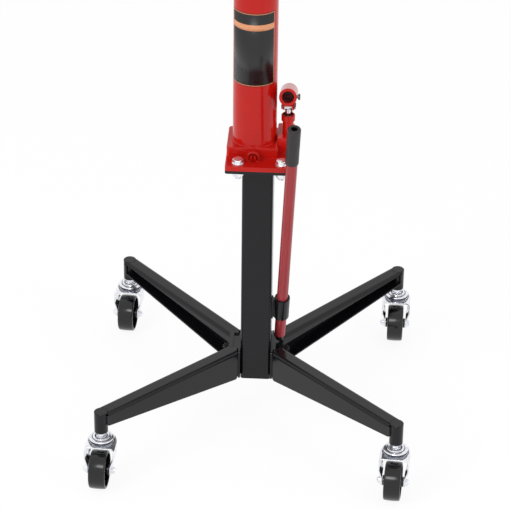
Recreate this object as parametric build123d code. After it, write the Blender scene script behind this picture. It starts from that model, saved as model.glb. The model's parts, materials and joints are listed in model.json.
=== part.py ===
from build123d import *
import os
from math import atan, atan2, cos, degrees, hypot, radians, sin, sqrt, tan

# Two-stage telescoping transmission jack on a four-legged castored base.
# Millimetres, +Z up, origin on the floor under the column axis.
# The operator stands at the front (-Y); the pump is on the right (+X).

# ---- base: casters, legs and column ----
caster_pitch = 562.0            # from caster stem to caster stem, both ways
socket_height = 44.5
socket_radius = 13.2
stem_radius = 6.0
stem_clearance = 0.25           # of a fastener in its hole, on the radius
running_clearance = 0.06        # of a turning or sliding fit, on the radius
body_gap = 0.4                  # between faces that move past each other

wheel_radius = 38.0
tread_width = 32.0
wheel_hub_width = 40.4
wheel_hub_radius = 10.0
wheel_web = 9.0
caster_trail = 30.0
caster_heading = {"fl": -4.0, "fr": -5.0, "bl": -5.0, "br": -2.0}    # degrees, seen from above
crown_radius = 29.0
crown_rise = 10.0               # of the fork's top, above the wheel
fork_wall = 2.5
fork_foot_half = 23.6           # half the width across the fork at the axle
fork_foot_radius = 10.0
axle_radius = 4.0
axle_length = 63.0
race_radius = 24.5
race_height = 10.0
race_profile = ((0, 0), (0, 3.2), (3, 4.2), (3, 5.2), (1.5, 6.2), (2.5, 8.6), (8, 9))    # inset, height
race_inset = 11.0               # of the narrow top of the raceway
stem_nut_flats = 17.0
stem_nut_height = 10.6
stem_foot_height = 5.0
stem_foot_radius = 10.0
socket_cap = 8.0                # closed top of the caster socket
socket_edge = 1.0
crown_skirt = 24.0              # straight part of the fork's crown
crown_round = 5.0
wheel_edge = 3.0
wheel_rim = 5.5
axle_head_radius = 7.0
axle_head_skirt = 2.2
axle_dome_radius = 5.6
axle_dome_height = 5.2
axle_tip_radius = 3.4
axle_nut_flats = 13.0
axle_tip = 2.5                  # of the axle, clear of its nut

column_side = 60.0
column_wall = 4.0
column_corner = 6.0
column_length = 494.2
column_foot_drop = 7.7          # below the legs
top_plate_thickness = 6.0

leg_width = 32.0
leg_wall = 3.0
leg_corner = 7.5
leg_hub_reach = 50.0            # where the leg's centre line meets its hub plate
leg_hub_spread = 37.0
leg_rise = 9.0                  # of the tops of the legs, from hub to socket
leg_hub_depth = 63.5
leg_tip_depth = 27.5
leg_tip_setback = 6.0           # from the socket axis to the end of the channel
leg_end_round = 10.0
hub_face_thickness = 4.0        # plate between the ends of the legs and the column
hub_face_half = 44.0
hub_web_drop = 4.0              # of the web between plate and face, below their tops
lip_depth_hub = 19.0
lip_depth_tip = 4.0
hub_plate_thickness = 4.0
hub_lip_width = 8.5
hub_half_length = 27.0
hub_bolt_radius = 6.0
hub_bolt_rises = (19.0, 45.0)   # above the undersides of the legs
hub_bolt_flats = 19.0
hub_spacer_radius = 10.5
hub_nut_height = 10.0
hub_thread_out = 3.0            # of the cross bolt, past its nut

# ---- hydraulic unit ----
flange_left = -60.0
flange_right = 67.0
flange_depth = 162.0
flange_thickness = 9.0
flange_bolt_x = (-36.0, 46.0)
flange_bolt_y = (-65.0, 65.0)
flange_bolt_radius = 6.0
flange_bolt_flats = 18.0
flange_head_height = 7.5
flange_nut_height = 10.0
washer_thickness = 2.0
tube_x = -8.0                   # axis of the rams, left of the column axis
tube_radius = 41.7
tube_wall = 3.2
tube_seat_depth = 4.0
block_half_depth = 43.7
block_left = -59.0
block_right = 38.0
block_height = 21.5
block_corner = 5.0
block_edge = 1.2
flange_edge = 1.0
pad_corner = 4.0
cylinder_radius = 34.0
cylinder_bore = 30.0
gland_height = 14.0
gland_skirt = 22.0
gland_lip = 1.5
outer_ram_radius = 26.0
outer_ram_bore = 21.0
outer_ram_floor = 8.0
outer_gland_radius = 31.0
outer_gland_height = 18.0
outer_gland_skirt = 20.0
inner_ram_radius = 17.0
ram_head_height = 24.0
seal_height = 6.0
seal_depth = 3.0
ram_stroke = 355.0              # of the first stage
stop_gap = 4.0                  # between a piston head and its gland at full stroke
spigot_radius = 12.5
spigot_height = 20.0
filler_drop = 55.0              # below the top of the tube
filler_radius = 5.0
filler_collar_radius = 7.5
filler_flats = 14.0
filler_head = 5.0
ram_rest_gap = 6.0              # first ram above the block
gland_rest_gap = 4.0            # first ram's end above the tube's gland
shoulder_rest_gap = 5.0         # second ram's shoulder above its gland
seal_rise = 9.0                 # of each seal above the foot of its ram
ram_thread_wall = 2.5           # wall cut away for the gland's thread

# ---- release valve ----
boss_half_width = 12.5
boss_reach = 11.5
valve_radius = 6.2
valve_cap_radius = 8.5
valve_recess = 6.0
valve_depth = 30.0
valve_tip_length = 4.0
valve_out = 3.0                 # of the screw, ahead of its boss
valve_slot_half = 1.6

# ---- pump ----
pump_tube_gap = 21.3            # from the reservoir tube to the pump axis
pump_radius = 10.4
pump_collar_radius = 13.0
pump_collar_height = 13.0
pump_cup_radius = 10.0          # recess in the collar, round the plunger
pump_cup_depth = 5.0
pump_rise = 40.0                # above the pad
pump_pad_rise = 12.0            # above the block
pump_pad_half_depth = 24.0
pad_tube_gap = 1.5
fulcrum_pad_back = 10.0         # pad behind the fulcrum
pump_seat_depth = 18.0
gallery_radius = 3.0
gallery_drop = 21.0             # below the pad's top
pump_bore = 4.6
piston_head_radius = 5.2
lever_rise = 19.4               # degrees, front end up, at the foot of the stroke
lever_stroke = 26.0             # degrees
lever_arm = 30.0                # level distance from fulcrum to pump axis
lever_pin_drop = 24.6           # of the pins below the socket axis
lever_slot_play = 0.45          # of the piston pin, up and down in its slot
socket_axis_rise = 81.6         # above the pad, over the pump axis
hand_socket_radius = 16.7
hand_socket_length = 80.0
hand_socket_back = 5.0          # closed rear end
hand_socket_front = 38.0        # ahead of the pump axis, level
lever_pin_radius = 2.6
ear_thickness = 3.5
ear_radius = 6.0
ear_half_gap = 7.6
fulcrum_post_half = 7.0         # half its depth, and the radius of its top
fulcrum_post_sunk = 8.0         # into the pad
thumb_screw_radius = 3.0
thumb_wing_radius = 2.0
thumb_wing_half = 4.2           # from the screw's axis to the middle of each wing's tip
thumb_wing_reach = 2.6
thumb_head_thickness = 2.5

# ---- handle and its holder ----
handle_radius = 11.0
handle_wall = 1.6
handle_fit = 0.35               # in the lever socket and in the holder
handle_length = 546.5
handle_side_gap = 16.4          # from the column's side to the foot of the handle's axis
handle_foot_back = 5.5
handle_foot_rise = 15.0         # above the hub plates
handle_lean = 18.7              # sideways, from the foot to the top plate
handle_pass = 12.0              # axis ahead of the front edge of the top plate
handle_key_length = 13.0
grip_radius = 12.7
grip_length = 85.0
holder_radius = 15.0
holder_length = 51.0
holder_distance = 78.0          # from the foot of the tube to the sleeve's middle
holder_slit = 1.2
holder_thickness = 6.0

# ---- saddle ----
swivel_radius = 27.0
swivel_height = 22.0
cheek_half_gap = 20.0
cheek_thickness = 7.0
cheek_half_depth = 12.0
tilt_axis_rise = 40.0           # fore and aft axis above the ram shoulder
side_axis_rise = 22.0           # side axis above the fore and aft axis
side_axis_clear = 12.0          # saddle plate above the side axis
tilt_pin_radius = 6.0
lug_half_gap = 21.0
lug_thickness = 7.0
lug_half_width = 14.0
knob_radius = 11.0
knob_length = 14.0
knob_lobe_radius = 3.6
pin_head_flats = 18.0
pin_head_height = 7.0
pin_out = 6.0                   # of each tilt pin, under its head
lug_foot = 0.75                 # width of the lug's round end over the lug's
plate_length = 230.0
plate_depth = 170.0
plate_thickness = 5.0
plate_corner = 12.0
plate_window_radius = 26.0
arm_pivot_x = 92.0
arm_pivot_y = 62.0
arm_width = 32.0
arm_reach = 95.0
arm_thickness = 6.0
finger_height = 45.0
finger_corner = 6.0
finger_rib_foot = 22.0
finger_rib_height = 30.0
finger_rib_half = 3.0
arm_toe_out = 0.8               # how far back or forward an arm points, over how far sideways
arm_bolt_radius = 5.0
wing_tip_radius = 3.2
wing_tip_rise = 13.0            # above the arm
rest_frame_x = 46.0             # half its length, between the strap slots
rest_frame_y = 70.0
rest_frame_wall = 6.0
rest_frame_clear = 1.0          # above the wing nuts
strap_slot_half_width = 5.0
strap_slot_length = 50.0
strap_slot_x = 74.0

socket_reach = caster_pitch / 2
column_half = column_side / 2
crown_top = 2 * wheel_radius + crown_rise
race_top = crown_top + body_gap + race_height
socket_top = race_top + stem_nut_height + socket_height
leg_hub_top = socket_top - leg_rise
leg_hub_bottom = leg_hub_top - leg_hub_depth
leg_tip_bottom = socket_top - leg_tip_depth
hub_bolt_heights = tuple(leg_hub_bottom + rise for rise in hub_bolt_rises)
column_bottom = leg_hub_bottom - column_foot_drop
column_top = column_bottom + column_length
pump_x = tube_x + tube_radius + pump_tube_gap
flange_bottom = column_top + top_plate_thickness
flange_top = flange_bottom + flange_thickness
block_top = flange_top + block_height
tube_bottom = block_top - tube_seat_depth
outer_ram_bottom = block_top + ram_rest_gap
tube_top = outer_ram_bottom + ram_head_height + ram_stroke + stop_gap + gland_skirt
filler_height = tube_top - filler_drop
gland_top = tube_top + gland_height
outer_ram_top = gland_top + gland_rest_gap
outer_gland_top = outer_ram_top + outer_gland_height
shoulder = outer_gland_top + shoulder_rest_gap
tilt_axis = shoulder + tilt_axis_rise
side_axis = tilt_axis + side_axis_rise
plate_bottom = side_axis + side_axis_clear
plate_top = plate_bottom + plate_thickness
arm_bolt_seat = plate_top + arm_thickness + 2 * body_gap
rest_top = arm_bolt_seat + wing_tip_rise + wing_tip_radius + rest_frame_clear
pad_top = block_top + pump_pad_rise
pump_top = pad_top + pump_rise
socket_axis_height = pad_top + socket_axis_rise
lever_slope = radians(lever_rise)
fulcrum_y = lever_arm
corners = {"fl": (-1, -1), "fr": (1, -1), "bl": (-1, 1), "br": (1, 1)}
corner_names = {"fl": "front_left", "fr": "front_right", "bl": "back_left", "br": "back_right"}
standing = (Align.CENTER, Align.CENTER, Align.MIN)


# ---- shape helpers ----
def box(x0, x1, y0, y1, z0, z1):
    return Pos((x0 + x1) / 2, (y0 + y1) / 2, (z0 + z1) / 2) * Box(x1 - x0, y1 - y0, z1 - z0)


def rod_z(radius, bottom, top, x=0.0, y=0.0):
    return Pos(x, y, (bottom + top) / 2) * Cylinder(radius, top - bottom)


def rod_x(radius, left, right, y, z):
    return Pos((left + right) / 2, y, z) * Rot(0, 90, 0) * Cylinder(radius, right - left)


def rod_y(radius, front, back, x, z):
    return Pos(x, (front + back) / 2, z) * Rot(90, 0, 0) * Cylinder(radius, back - front)


def turned(points):
    """Solid of revolution about Z from an outline of (radius, height) points."""
    return revolve(Plane.XZ * make_face(Polyline(*points, close=True)), Axis.Z)


def hexagon(flats, height):
    """Hexagon prism on Z = 0 with the corners of its top face turned off."""
    prism = extrude(RegularPolygon(flats / 2, 6, major_radius=False), height)
    bevel = flats * 0.09
    corner = flats / sqrt(3)
    crown = turned([(0, 0), (corner, 0), (corner, height - bevel), (flats / 2, height), (0, height)])
    return prism & crown


def group(solids):
    return Compound([s for item in solids for s in item.solids()])


def mirrored(shape, side, end):
    """A left front shape carried to another corner of the base."""
    if side > 0:
        shape = mirror(shape, about=Plane.YZ)
    if end > 0:
        shape = mirror(shape, about=Plane.XZ)
    return shape


def at_corner(shape, key):
    side, end = corners[key]
    turn = Rot(0, 0, caster_heading[key])
    return Pos(side * socket_reach, end * socket_reach, 0) * turn * shape


# ---- column ----
def column_tube():
    height = column_top - column_bottom
    inside = column_side - 2 * column_wall
    section = RectangleRounded(column_side, column_side, column_corner)
    section -= RectangleRounded(inside, inside, column_corner - column_wall)
    tube = Pos(0, 0, column_bottom) * extrude(section, height)
    for z in hub_bolt_heights:
        tube -= rod_x(hub_bolt_radius + stem_clearance, -column_side, column_side, 0, z)
    return tube


def flange_holes(bottom, top):
    radius = flange_bolt_radius + stem_clearance
    return [rod_z(radius, bottom, top, x, y) for x in flange_bolt_x for y in flange_bolt_y]


def column_top_plate():
    plate = box(flange_left, flange_right, -flange_depth / 2, flange_depth / 2,
                column_top, flange_bottom)
    plate = fillet(plate.edges().filter_by(Axis.Z), block_corner)
    return plate - flange_holes(column_top - 1, flange_bottom + 1)


# ---- legs ----
def leg():
    """Left front leg: a tapered channel, open towards the back, sloping up to its socket."""
    run_x = socket_reach - leg_hub_reach
    run_y = socket_reach - leg_hub_spread
    run = hypot(run_x, run_y)
    slope = atan((socket_top - leg_hub_top) / run)
    end = run - leg_tip_setback
    start = -2 * leg_width
    half = leg_width / 2

    def bottom(s):
        return leg_hub_bottom + (leg_tip_bottom - leg_hub_bottom) * s / run

    def lip(s):
        depth = lip_depth_hub + (lip_depth_tip - lip_depth_hub) * s / run
        return leg_hub_top + s * tan(slope) - depth

    def side_cut(low, high, y0, y1):
        outline = [(start, low(start)), (end, low(end)), (end, high(end)), (start, high(start))]
        face = Plane.XZ * make_face(Polyline(*outline, close=True))
        return Pos(0, y1, 0) * extrude(face, y1 - y0)

    depth = 2 * socket_top
    bar = extrude(Plane.YZ * Pos(0, -depth / 2) * RectangleRounded(leg_width, depth, leg_corner),
                  end - start + leg_width)
    inner = leg_width - 2 * leg_wall
    core = extrude(Plane.YZ * Pos(0, -depth / 2 - leg_wall)
                   * RectangleRounded(inner, depth, leg_corner - leg_wall),
                   end - start + leg_width)
    tilt = Pos(0, 0, leg_hub_top) * Rot(0, -degrees(slope), 0) * Pos(start, 0, 0)
    bar = tilt * bar
    core = tilt * core
    keep = side_cut(bottom, lambda s: 2 * socket_top, -half, half)
    floor = side_cut(bottom, lambda s: bottom(s) + leg_wall, -half, half)
    channel = (bar - core) & keep
    channel += bar & floor
    channel -= side_cut(lambda s: bottom(s) + leg_wall, lip, -half, -half + leg_wall)

    toward = Plane(origin=(-leg_hub_reach, -leg_hub_spread, 0), x_dir=(-run_x, -run_y, 0),
                   z_dir=(0, 0, 1))
    channel = toward.location * channel
    stop = -(column_half + hub_face_thickness)
    outline = Polyline((stop, bottom(0)), (stop, leg_hub_top), (3 * stop, leg_hub_top + 20),
                       (-2 * socket_reach, 3 * socket_top), (-2 * socket_reach, -socket_top),
                       (3 * stop, bottom(0) - 20), close=True)
    face = make_face(outline)
    face = fillet(face.vertices().sort_by(Axis.X)[-2:], leg_end_round)
    channel &= Pos(0, socket_reach, 0) * extrude(Plane.XZ * face, 2 * caster_pitch)
    channel -= box(-leg_hub_reach - hub_plate_thickness, 0, -hub_half_length, hub_half_length,
                   0, 2 * socket_top)
    channel -= rod_z(socket_radius, 0, 2 * socket_top, -socket_reach, -socket_reach)
    return channel


def hub_plate():
    """Right side of the hub: a plate that joins the two legs, a face against the column, a web between."""
    outer = leg_hub_reach + hub_plate_thickness
    top = leg_hub_top
    plate = box(leg_hub_reach, outer, -hub_half_length, hub_half_length, leg_hub_bottom, top)
    plate += box(outer - hub_lip_width, outer, -hub_half_length, hub_half_length, top - leg_wall, top)
    face = box(column_half, column_half + hub_face_thickness, -hub_face_half, hub_face_half,
               leg_hub_bottom, top)
    web = top - hub_web_drop
    plates = plate + fillet(face.edges().filter_by(Axis.X), leg_end_round / 2)
    plates += box(column_half + hub_face_thickness, leg_hub_reach, -hub_half_length, hub_half_length,
                  web - leg_wall, web)
    for z in hub_bolt_heights:
        plates -= rod_x(hub_bolt_radius + stem_clearance, 0, 2 * outer, 0, z)
    return plates


def hub_spacers():
    pieces = []
    for side in (-1, 1):
        for z in hub_bolt_heights:
            ends = sorted((side * (column_half + hub_face_thickness), side * leg_hub_reach))
            tube = rod_x(hub_spacer_radius, ends[0], ends[1], 0, z)
            pieces.append(tube - rod_x(hub_bolt_radius + stem_clearance, -200, 200, 0, z))
    return group(pieces)


def hub_bolts():
    """Cross bolts that clamp the two hub plates against the column, a nut on each end."""
    pieces = []
    reach = leg_hub_reach + hub_plate_thickness
    end = reach + hub_nut_height + hub_thread_out
    for z in hub_bolt_heights:
        bolt = rod_x(hub_bolt_radius, -end, end, 0, z)
        for side in (-1, 1):
            nut = Pos(side * reach, 0, z) * Rot(0, side * 90, 0) * hexagon(hub_bolt_flats, hub_nut_height)
            bolt += nut
        pieces.append(bolt)
    return group(pieces)


# ---- casters ----
def caster_socket():
    bottom = socket_top - socket_height
    tube = rod_z(socket_radius, bottom, socket_top)
    tube = chamfer(tube.edges().group_by(Axis.Z)[-1], socket_edge)
    return tube - rod_z(stem_radius + stem_clearance, bottom - 1, socket_top - socket_cap)


def caster_stem():
    """Threaded stem with its hexagon collar; a riveted foot holds the fork up."""
    under = crown_top - fork_wall - body_gap
    foot = under - stem_foot_height
    stem = rod_z(stem_radius, foot, socket_top - socket_cap - 1)
    stem += Pos(0, 0, race_top) * hexagon(stem_nut_flats, stem_nut_height)
    return stem + rod_z(stem_foot_radius, foot, under)


def caster_race():
    """Pressed raceway above the fork: two beads with a groove between them."""
    bore = stem_radius + stem_clearance
    rings = [(race_radius - inset, height) for inset, height in race_profile]
    rings = [(bore, 0), *rings, (race_radius - race_inset, race_height), (bore, race_height)]
    return Pos(0, 0, crown_top + body_gap) * turned(rings)


def caster_fork():
    """Pressed fork: a round crown whose two sides narrow down to the axle."""
    top = crown_top
    shoulder_z = top - crown_skirt
    foot = wheel_radius - fork_foot_radius
    ankle_z = wheel_radius + fork_foot_radius

    def outline(inset):
        crown = crown_radius - inset
        ankle = fork_foot_half - inset
        low = foot - inset
        bend = top - crown_round
        flat = crown - crown_round
        return [(-ankle, low), (-ankle, ankle_z), (-crown, shoulder_z), (-crown, bend),
                (-flat, top - inset), (flat, top - inset), (crown, bend),
                (crown, shoulder_z), (ankle, ankle_z), (ankle, low)]

    front = make_face(Polyline(*outline(0), close=True))
    front -= make_face(Polyline(*outline(fork_wall), close=True))
    shell = Pos(0, caster_pitch / 4, 0) * extrude(Plane.XZ * front, caster_pitch / 2)
    side = make_hull([
        *(Pos(-caster_trail, wheel_radius) * Circle(fork_foot_radius)).edges(),
        *(Pos(0, top - 9) * Rectangle(2 * crown_radius, 18)).edges(),
    ])
    shell &= Pos(-crown_radius - 1, 0, 0) * extrude(Plane.YZ * side, 2 * crown_radius + 2)
    plan = Circle(crown_radius) + Pos(0, -caster_trail) * Rectangle(2 * crown_radius, 2 * caster_trail)
    shell &= extrude(plan, 2 * top)
    bead = (rod_z(race_radius, top - fork_wall, top) - rod_z(stem_radius, 0, 2 * top))
    shell += bead
    shell -= rod_z(stem_radius + running_clearance, 0, 2 * top)
    return shell - rod_x(axle_radius + stem_clearance, -50, 50, -caster_trail, wheel_radius)


def caster_wheel():
    """Moulded wheel with a crowned tread, recessed sides and a long hub."""
    half = tread_width / 2
    hub = wheel_hub_width / 2
    web = wheel_web / 2
    bore = axle_radius + running_clearance
    edge = wheel_edge
    rim = wheel_radius - wheel_rim
    outline = [(bore, -hub), (wheel_hub_radius - 1, -hub), (wheel_hub_radius, -hub + 1),
               (wheel_hub_radius + 1, -web), (rim - 1, -web), (rim, -half), (wheel_radius - edge, -half),
               (wheel_radius - 0.9, -half + 1.2), (wheel_radius - 0.3, -half + edge),
               (wheel_radius, -half + 2 * edge), (wheel_radius, half - 2 * edge),
               (wheel_radius - 0.3, half - edge), (wheel_radius - 0.9, half - 1.2),
               (wheel_radius - edge, half), (rim, half), (rim - 1, web), (wheel_hub_radius + 1, web),
               (wheel_hub_radius, hub - 1), (wheel_hub_radius - 1, hub), (bore, hub)]
    return Pos(0, -caster_trail, wheel_radius) * Rot(0, 90, 0) * turned(outline)


def caster_axle():
    """Axle bolt: round head on the left, hexagon nut with a domed end on the right."""
    half = axle_length / 2
    face = fork_foot_half
    pin = rod_x(axle_radius, -face, half - 1, 0, 0)
    head = turned([(0, 0), (axle_head_radius, 0), (axle_head_radius, axle_head_skirt),
                   (axle_dome_radius, axle_dome_height), (axle_tip_radius, half - face),
                   (0, half - face)])
    pin += Pos(-face, 0, 0) * Rot(0, -90, 0) * head
    pin += Pos(face, 0, 0) * Rot(0, 90, 0) * hexagon(axle_nut_flats, half - face - axle_tip)
    return Pos(0, -caster_trail, wheel_radius) * pin


# ---- hydraulic unit ----
def valve_height():
    """Height of the release valve's axis: its boss stops short of the block's chamfer."""
    return block_top - boss_half_width - 1.5


def base_casting():
    """Flange, block, pump pad and release valve boss in one piece."""
    half = flange_depth / 2
    flange = box(flange_left, flange_right, -half, half, flange_bottom, flange_top)
    flange = fillet(flange.edges().filter_by(Axis.Z), block_corner)
    flange = chamfer(flange.edges().group_by(Axis.Z)[-1], flange_edge)
    block = box(block_left, block_right, -block_half_depth, block_half_depth, flange_top, block_top)
    block = fillet(block.edges().filter_by(Axis.Z), block_corner)
    block = chamfer(block.edges().group_by(Axis.Z)[-1], block_edge)
    body = flange - flange_holes(flange_bottom - 1, flange_top + 1) + block

    pad = box(tube_x + tube_radius + pad_tube_gap, flange_right, -pump_pad_half_depth,
              fulcrum_y + fulcrum_pad_back, flange_top, pad_top)
    pad = fillet(pad.edges().filter_by(Axis.Z), pad_corner)
    pad = chamfer(pad.edges().group_by(Axis.Z)[-1], block_edge)
    body += pad

    boss_front = -block_half_depth - boss_reach
    arch_z = valve_height()
    arch = rod_y(boss_half_width, boss_front, -block_half_depth + 1, tube_x, arch_z)
    arch += box(tube_x - boss_half_width, tube_x + boss_half_width, boss_front,
                -block_half_depth + 1, flange_top, arch_z)
    body += arch
    body -= rod_y(valve_cap_radius, boss_front - 1, boss_front + valve_recess, tube_x, arch_z)
    body -= rod_y(valve_radius + running_clearance, boss_front - 1, boss_front + valve_depth, tube_x, arch_z)

    body -= rod_z(tube_radius, tube_bottom, block_top + 50, tube_x, 0)
    body -= rod_z(pump_radius, pad_top - pump_seat_depth, pad_top + 1, pump_x, 0)
    gallery_z = pad_top - gallery_drop
    body -= rod_x(gallery_radius, tube_x, pump_x, 0, gallery_z)
    body -= rod_z(gallery_radius, gallery_z, pad_top - pump_seat_depth + 1, pump_x, 0)
    return body - fulcrum_base(pad_top + 1)


def flange_bolts():
    pieces = []
    seat = flange_top + washer_thickness
    foot = column_top - washer_thickness - flange_nut_height - 4
    for x in flange_bolt_x:
        for y in flange_bolt_y:
            bolt = rod_z(flange_bolt_radius, foot, seat, x, y)
            bolt += Pos(x, y, seat) * hexagon(flange_bolt_flats, flange_head_height)
            pieces.append(bolt)
    return group(pieces)


def flange_nuts():
    top = column_top - washer_thickness
    nut = Pos(0, 0, top) * Rot(180, 0, 0) * hexagon(flange_bolt_flats, flange_nut_height)
    nut -= rod_z(flange_bolt_radius, top - 20, top + 1)
    return group([Pos(x, y, 0) * nut for x in flange_bolt_x for y in flange_bolt_y])


def flange_washers():
    washer = Cylinder(flange_bolt_radius * 1.9, washer_thickness)
    washer -= Cylinder(flange_bolt_radius + stem_clearance, 2 * washer_thickness)
    heights = (flange_top + washer_thickness / 2, column_top - washer_thickness / 2)
    return group([Pos(x, y, z) * washer for x in flange_bolt_x for y in flange_bolt_y for z in heights])


def reservoir_tube():
    tube = rod_z(tube_radius, tube_bottom, tube_top, tube_x, 0)
    tube -= rod_z(tube_radius - tube_wall, tube_bottom - 1, tube_top + 1, tube_x, 0)
    return tube - rod_x(filler_radius, tube_x, tube_x + 2 * tube_radius, 0, filler_height)


def filler_plug():
    side = tube_x + tube_radius
    plug = rod_x(filler_radius, side - tube_wall - 2, side + 1, 0, filler_height)
    plug += Pos(side + 0.4, 0, filler_height) * Rot(0, 90, 0) * hexagon(filler_flats, filler_head)
    plug += rod_x(filler_collar_radius, side - 0.2, side + 1.4, 0, filler_height)
    return plug - reservoir_tube()


def pressure_cylinder():
    tube = rod_z(cylinder_radius, tube_bottom, tube_top - gland_skirt, tube_x, 0)
    return tube - rod_z(cylinder_bore, tube_bottom + 4, tube_top, tube_x, 0)


def tube_gland_nut():
    """Top nut: closes the reservoir and guides the first ram."""
    bore = outer_ram_radius + running_clearance
    inside = tube_radius - tube_wall
    rim = tube_radius + gland_lip
    skirt = tube_top - gland_skirt
    nut = turned([(bore, skirt), (inside, skirt), (inside, tube_top), (rim, tube_top),
                  (rim, gland_top - 3), (rim - 3, gland_top), (bore + 3, gland_top),
                  (bore + 1, gland_top - 2), (bore, gland_top - 3)])
    for turn in range(4):
        notch = box(rim - 6, rim + 2, -4, 4, gland_top - 7, gland_top + 1)
        nut -= Rot(0, 0, 45 + 90 * turn) * notch
    return Pos(tube_x, 0, 0) * nut


def piston_ring(radius, bottom):
    ring = rod_z(radius, bottom, bottom + seal_height, tube_x, 0)
    return ring - rod_z(radius - seal_depth, bottom - 1, bottom + seal_height + 1, tube_x, 0)


def seal_groove(radius, bottom):
    ring = rod_z(radius + 1, bottom, bottom + seal_height, tube_x, 0)
    return ring - rod_z(radius - seal_depth, bottom - 1, bottom + seal_height + 1, tube_x, 0)


def outer_seal_bottom():
    return outer_ram_bottom + seal_rise


def inner_seal_bottom():
    return outer_ram_bottom + outer_ram_floor + body_gap + seal_rise


def ram_outer():
    """First stage: a hollow ram with a piston head at its foot."""
    head = cylinder_bore - running_clearance
    head_top = outer_ram_bottom + ram_head_height
    thread = outer_ram_bore + ram_thread_wall
    ram = turned([(0, outer_ram_bottom), (head, outer_ram_bottom), (head, head_top),
                  (outer_ram_radius, head_top), (outer_ram_radius, outer_ram_top),
                  (thread, outer_ram_top), (thread, outer_ram_top - outer_gland_skirt),
                  (outer_ram_bore, outer_ram_top - outer_gland_skirt),
                  (outer_ram_bore, outer_ram_bottom + outer_ram_floor),
                  (4, outer_ram_bottom + outer_ram_floor), (4, outer_ram_bottom + 1),
                  (0, outer_ram_bottom + 1)])
    return Pos(tube_x, 0, 0) * ram - seal_groove(head, outer_seal_bottom())


def outer_piston_seal():
    return piston_ring(cylinder_bore - running_clearance / 2, outer_seal_bottom())


def ram_outer_gland():
    """Nut on the first ram: it guides the second ram and stops it."""
    bore = inner_ram_radius + running_clearance
    thread = outer_ram_bore + ram_thread_wall
    skirt = outer_ram_top - outer_gland_skirt
    rim = outer_gland_radius
    nut = turned([(bore, skirt), (thread, skirt), (thread, outer_ram_top), (rim, outer_ram_top),
                  (rim, outer_gland_top - 2.5), (rim - 2.5, outer_gland_top),
                  (bore + 3, outer_gland_top), (bore, outer_gland_top - 3)])
    for side in (-1, 1):
        nut -= box(side * (rim + 1) - 3.5, side * (rim + 1) + 3.5, -rim, rim,
                   outer_gland_top - 10, outer_gland_top + 1)
    return Pos(tube_x, 0, 0) * nut


def ram_inner():
    """Second stage: a solid ram with a piston head and a spigot for the saddle."""
    foot = outer_ram_bottom + outer_ram_floor + body_gap
    head = outer_ram_bore - running_clearance
    head_top = foot + ram_head_height
    top = shoulder + spigot_height
    ram = turned([(0, foot), (head, foot), (head, head_top), (inner_ram_radius, head_top),
                  (inner_ram_radius, shoulder - 1), (inner_ram_radius - 1, shoulder),
                  (spigot_radius, shoulder), (spigot_radius, top - 1), (spigot_radius - 1, top),
                  (0, top)])
    return Pos(tube_x, 0, 0) * ram - seal_groove(head, inner_seal_bottom())


def inner_piston_seal():
    return piston_ring(outer_ram_bore - running_clearance / 2, inner_seal_bottom())


def release_valve():
    """Screw with a slotted head, turned with the keyed foot of the handle."""
    front = -block_half_depth - boss_reach
    z = valve_height()
    seat = front + valve_depth - valve_tip_length
    screw = rod_y(valve_radius, front - valve_out, seat, tube_x, z)
    point = Cone(valve_radius, 1.0, valve_tip_length, align=standing)
    screw += Pos(tube_x, seat, z) * Rot(-90, 0, 0) * point
    slot_half = valve_slot_half
    return screw - box(tube_x - slot_half, tube_x + slot_half, front - valve_out - 1, front + valve_out,
                       z - 20, z + 20)


# ---- pump ----
def between_ears():
    """Half the width of what stands between the ears of the lever."""
    return ear_half_gap - body_gap


def fulcrum_base(top):
    """Foot of the fulcrum post, from its seat in the pad up to a height."""
    wide = between_ears()
    deep = fulcrum_post_half
    return box(pump_x - wide, pump_x + wide, fulcrum_y - deep, fulcrum_y + deep,
               pad_top - fulcrum_post_sunk, top)


def lever_point(along, drop):
    """Y and Z of a point square below the socket's axis, a level distance ahead of the pump."""
    z = socket_axis_height + along * tan(lever_slope)
    return -along - drop * sin(lever_slope), z - drop * cos(lever_slope)


def fulcrum_point():
    """Rear pin of the lever, straight behind the pump axis."""
    y, z = lever_point(0, lever_pin_drop)
    back = fulcrum_y - y
    return fulcrum_y, z - back * tan(lever_slope)


def piston_pin_point():
    y, z = lever_point(0, lever_pin_drop)
    return 0.0, z + y * tan(lever_slope)


def pump_cylinder():
    body = rod_z(pump_radius, pad_top - pump_seat_depth, pump_top - pump_collar_height, pump_x, 0)
    collar = rod_z(pump_collar_radius, pump_top - pump_collar_height, pump_top, pump_x, 0)
    collar = chamfer(collar.edges(), 1.2)
    body += collar - rod_z(pump_cup_radius, pump_top - pump_cup_depth, pump_top + 1, pump_x, 0)
    body -= rod_z(pump_bore + running_clearance, pad_top - 12, pump_top + 1, pump_x, 0)
    return body - rod_z(1.5, pad_top - 20, pad_top - 11, pump_x, 0)


def pin_travel():
    """Distance that the lever's front pin moves back over the stroke."""
    radius = lever_arm / cos(lever_slope)
    return lever_arm - radius * cos(lever_slope + radians(lever_stroke))


def pump_piston():
    """Plunger whose flat head has a level slot for the lever's front pin."""
    pin_z = piston_pin_point()[1]
    head_width = between_ears()
    far = pin_travel()
    rod = rod_z(pump_bore, pad_top + 8, pin_z, pump_x, 0)
    slot_radius = lever_pin_radius + lever_slot_play
    for radius, cut in ((piston_head_radius, False), (slot_radius, True)):
        ends = make_hull([*(Pos(0, pin_z) * Circle(radius)).edges(),
                          *(Pos(far, pin_z) * Circle(radius)).edges()])
        reach = head_width + cut
        solid = Pos(pump_x - reach, 0, 0) * extrude(Plane.YZ * ends, 2 * reach)
        rod = rod - solid if cut else rod + solid
    return rod


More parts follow.
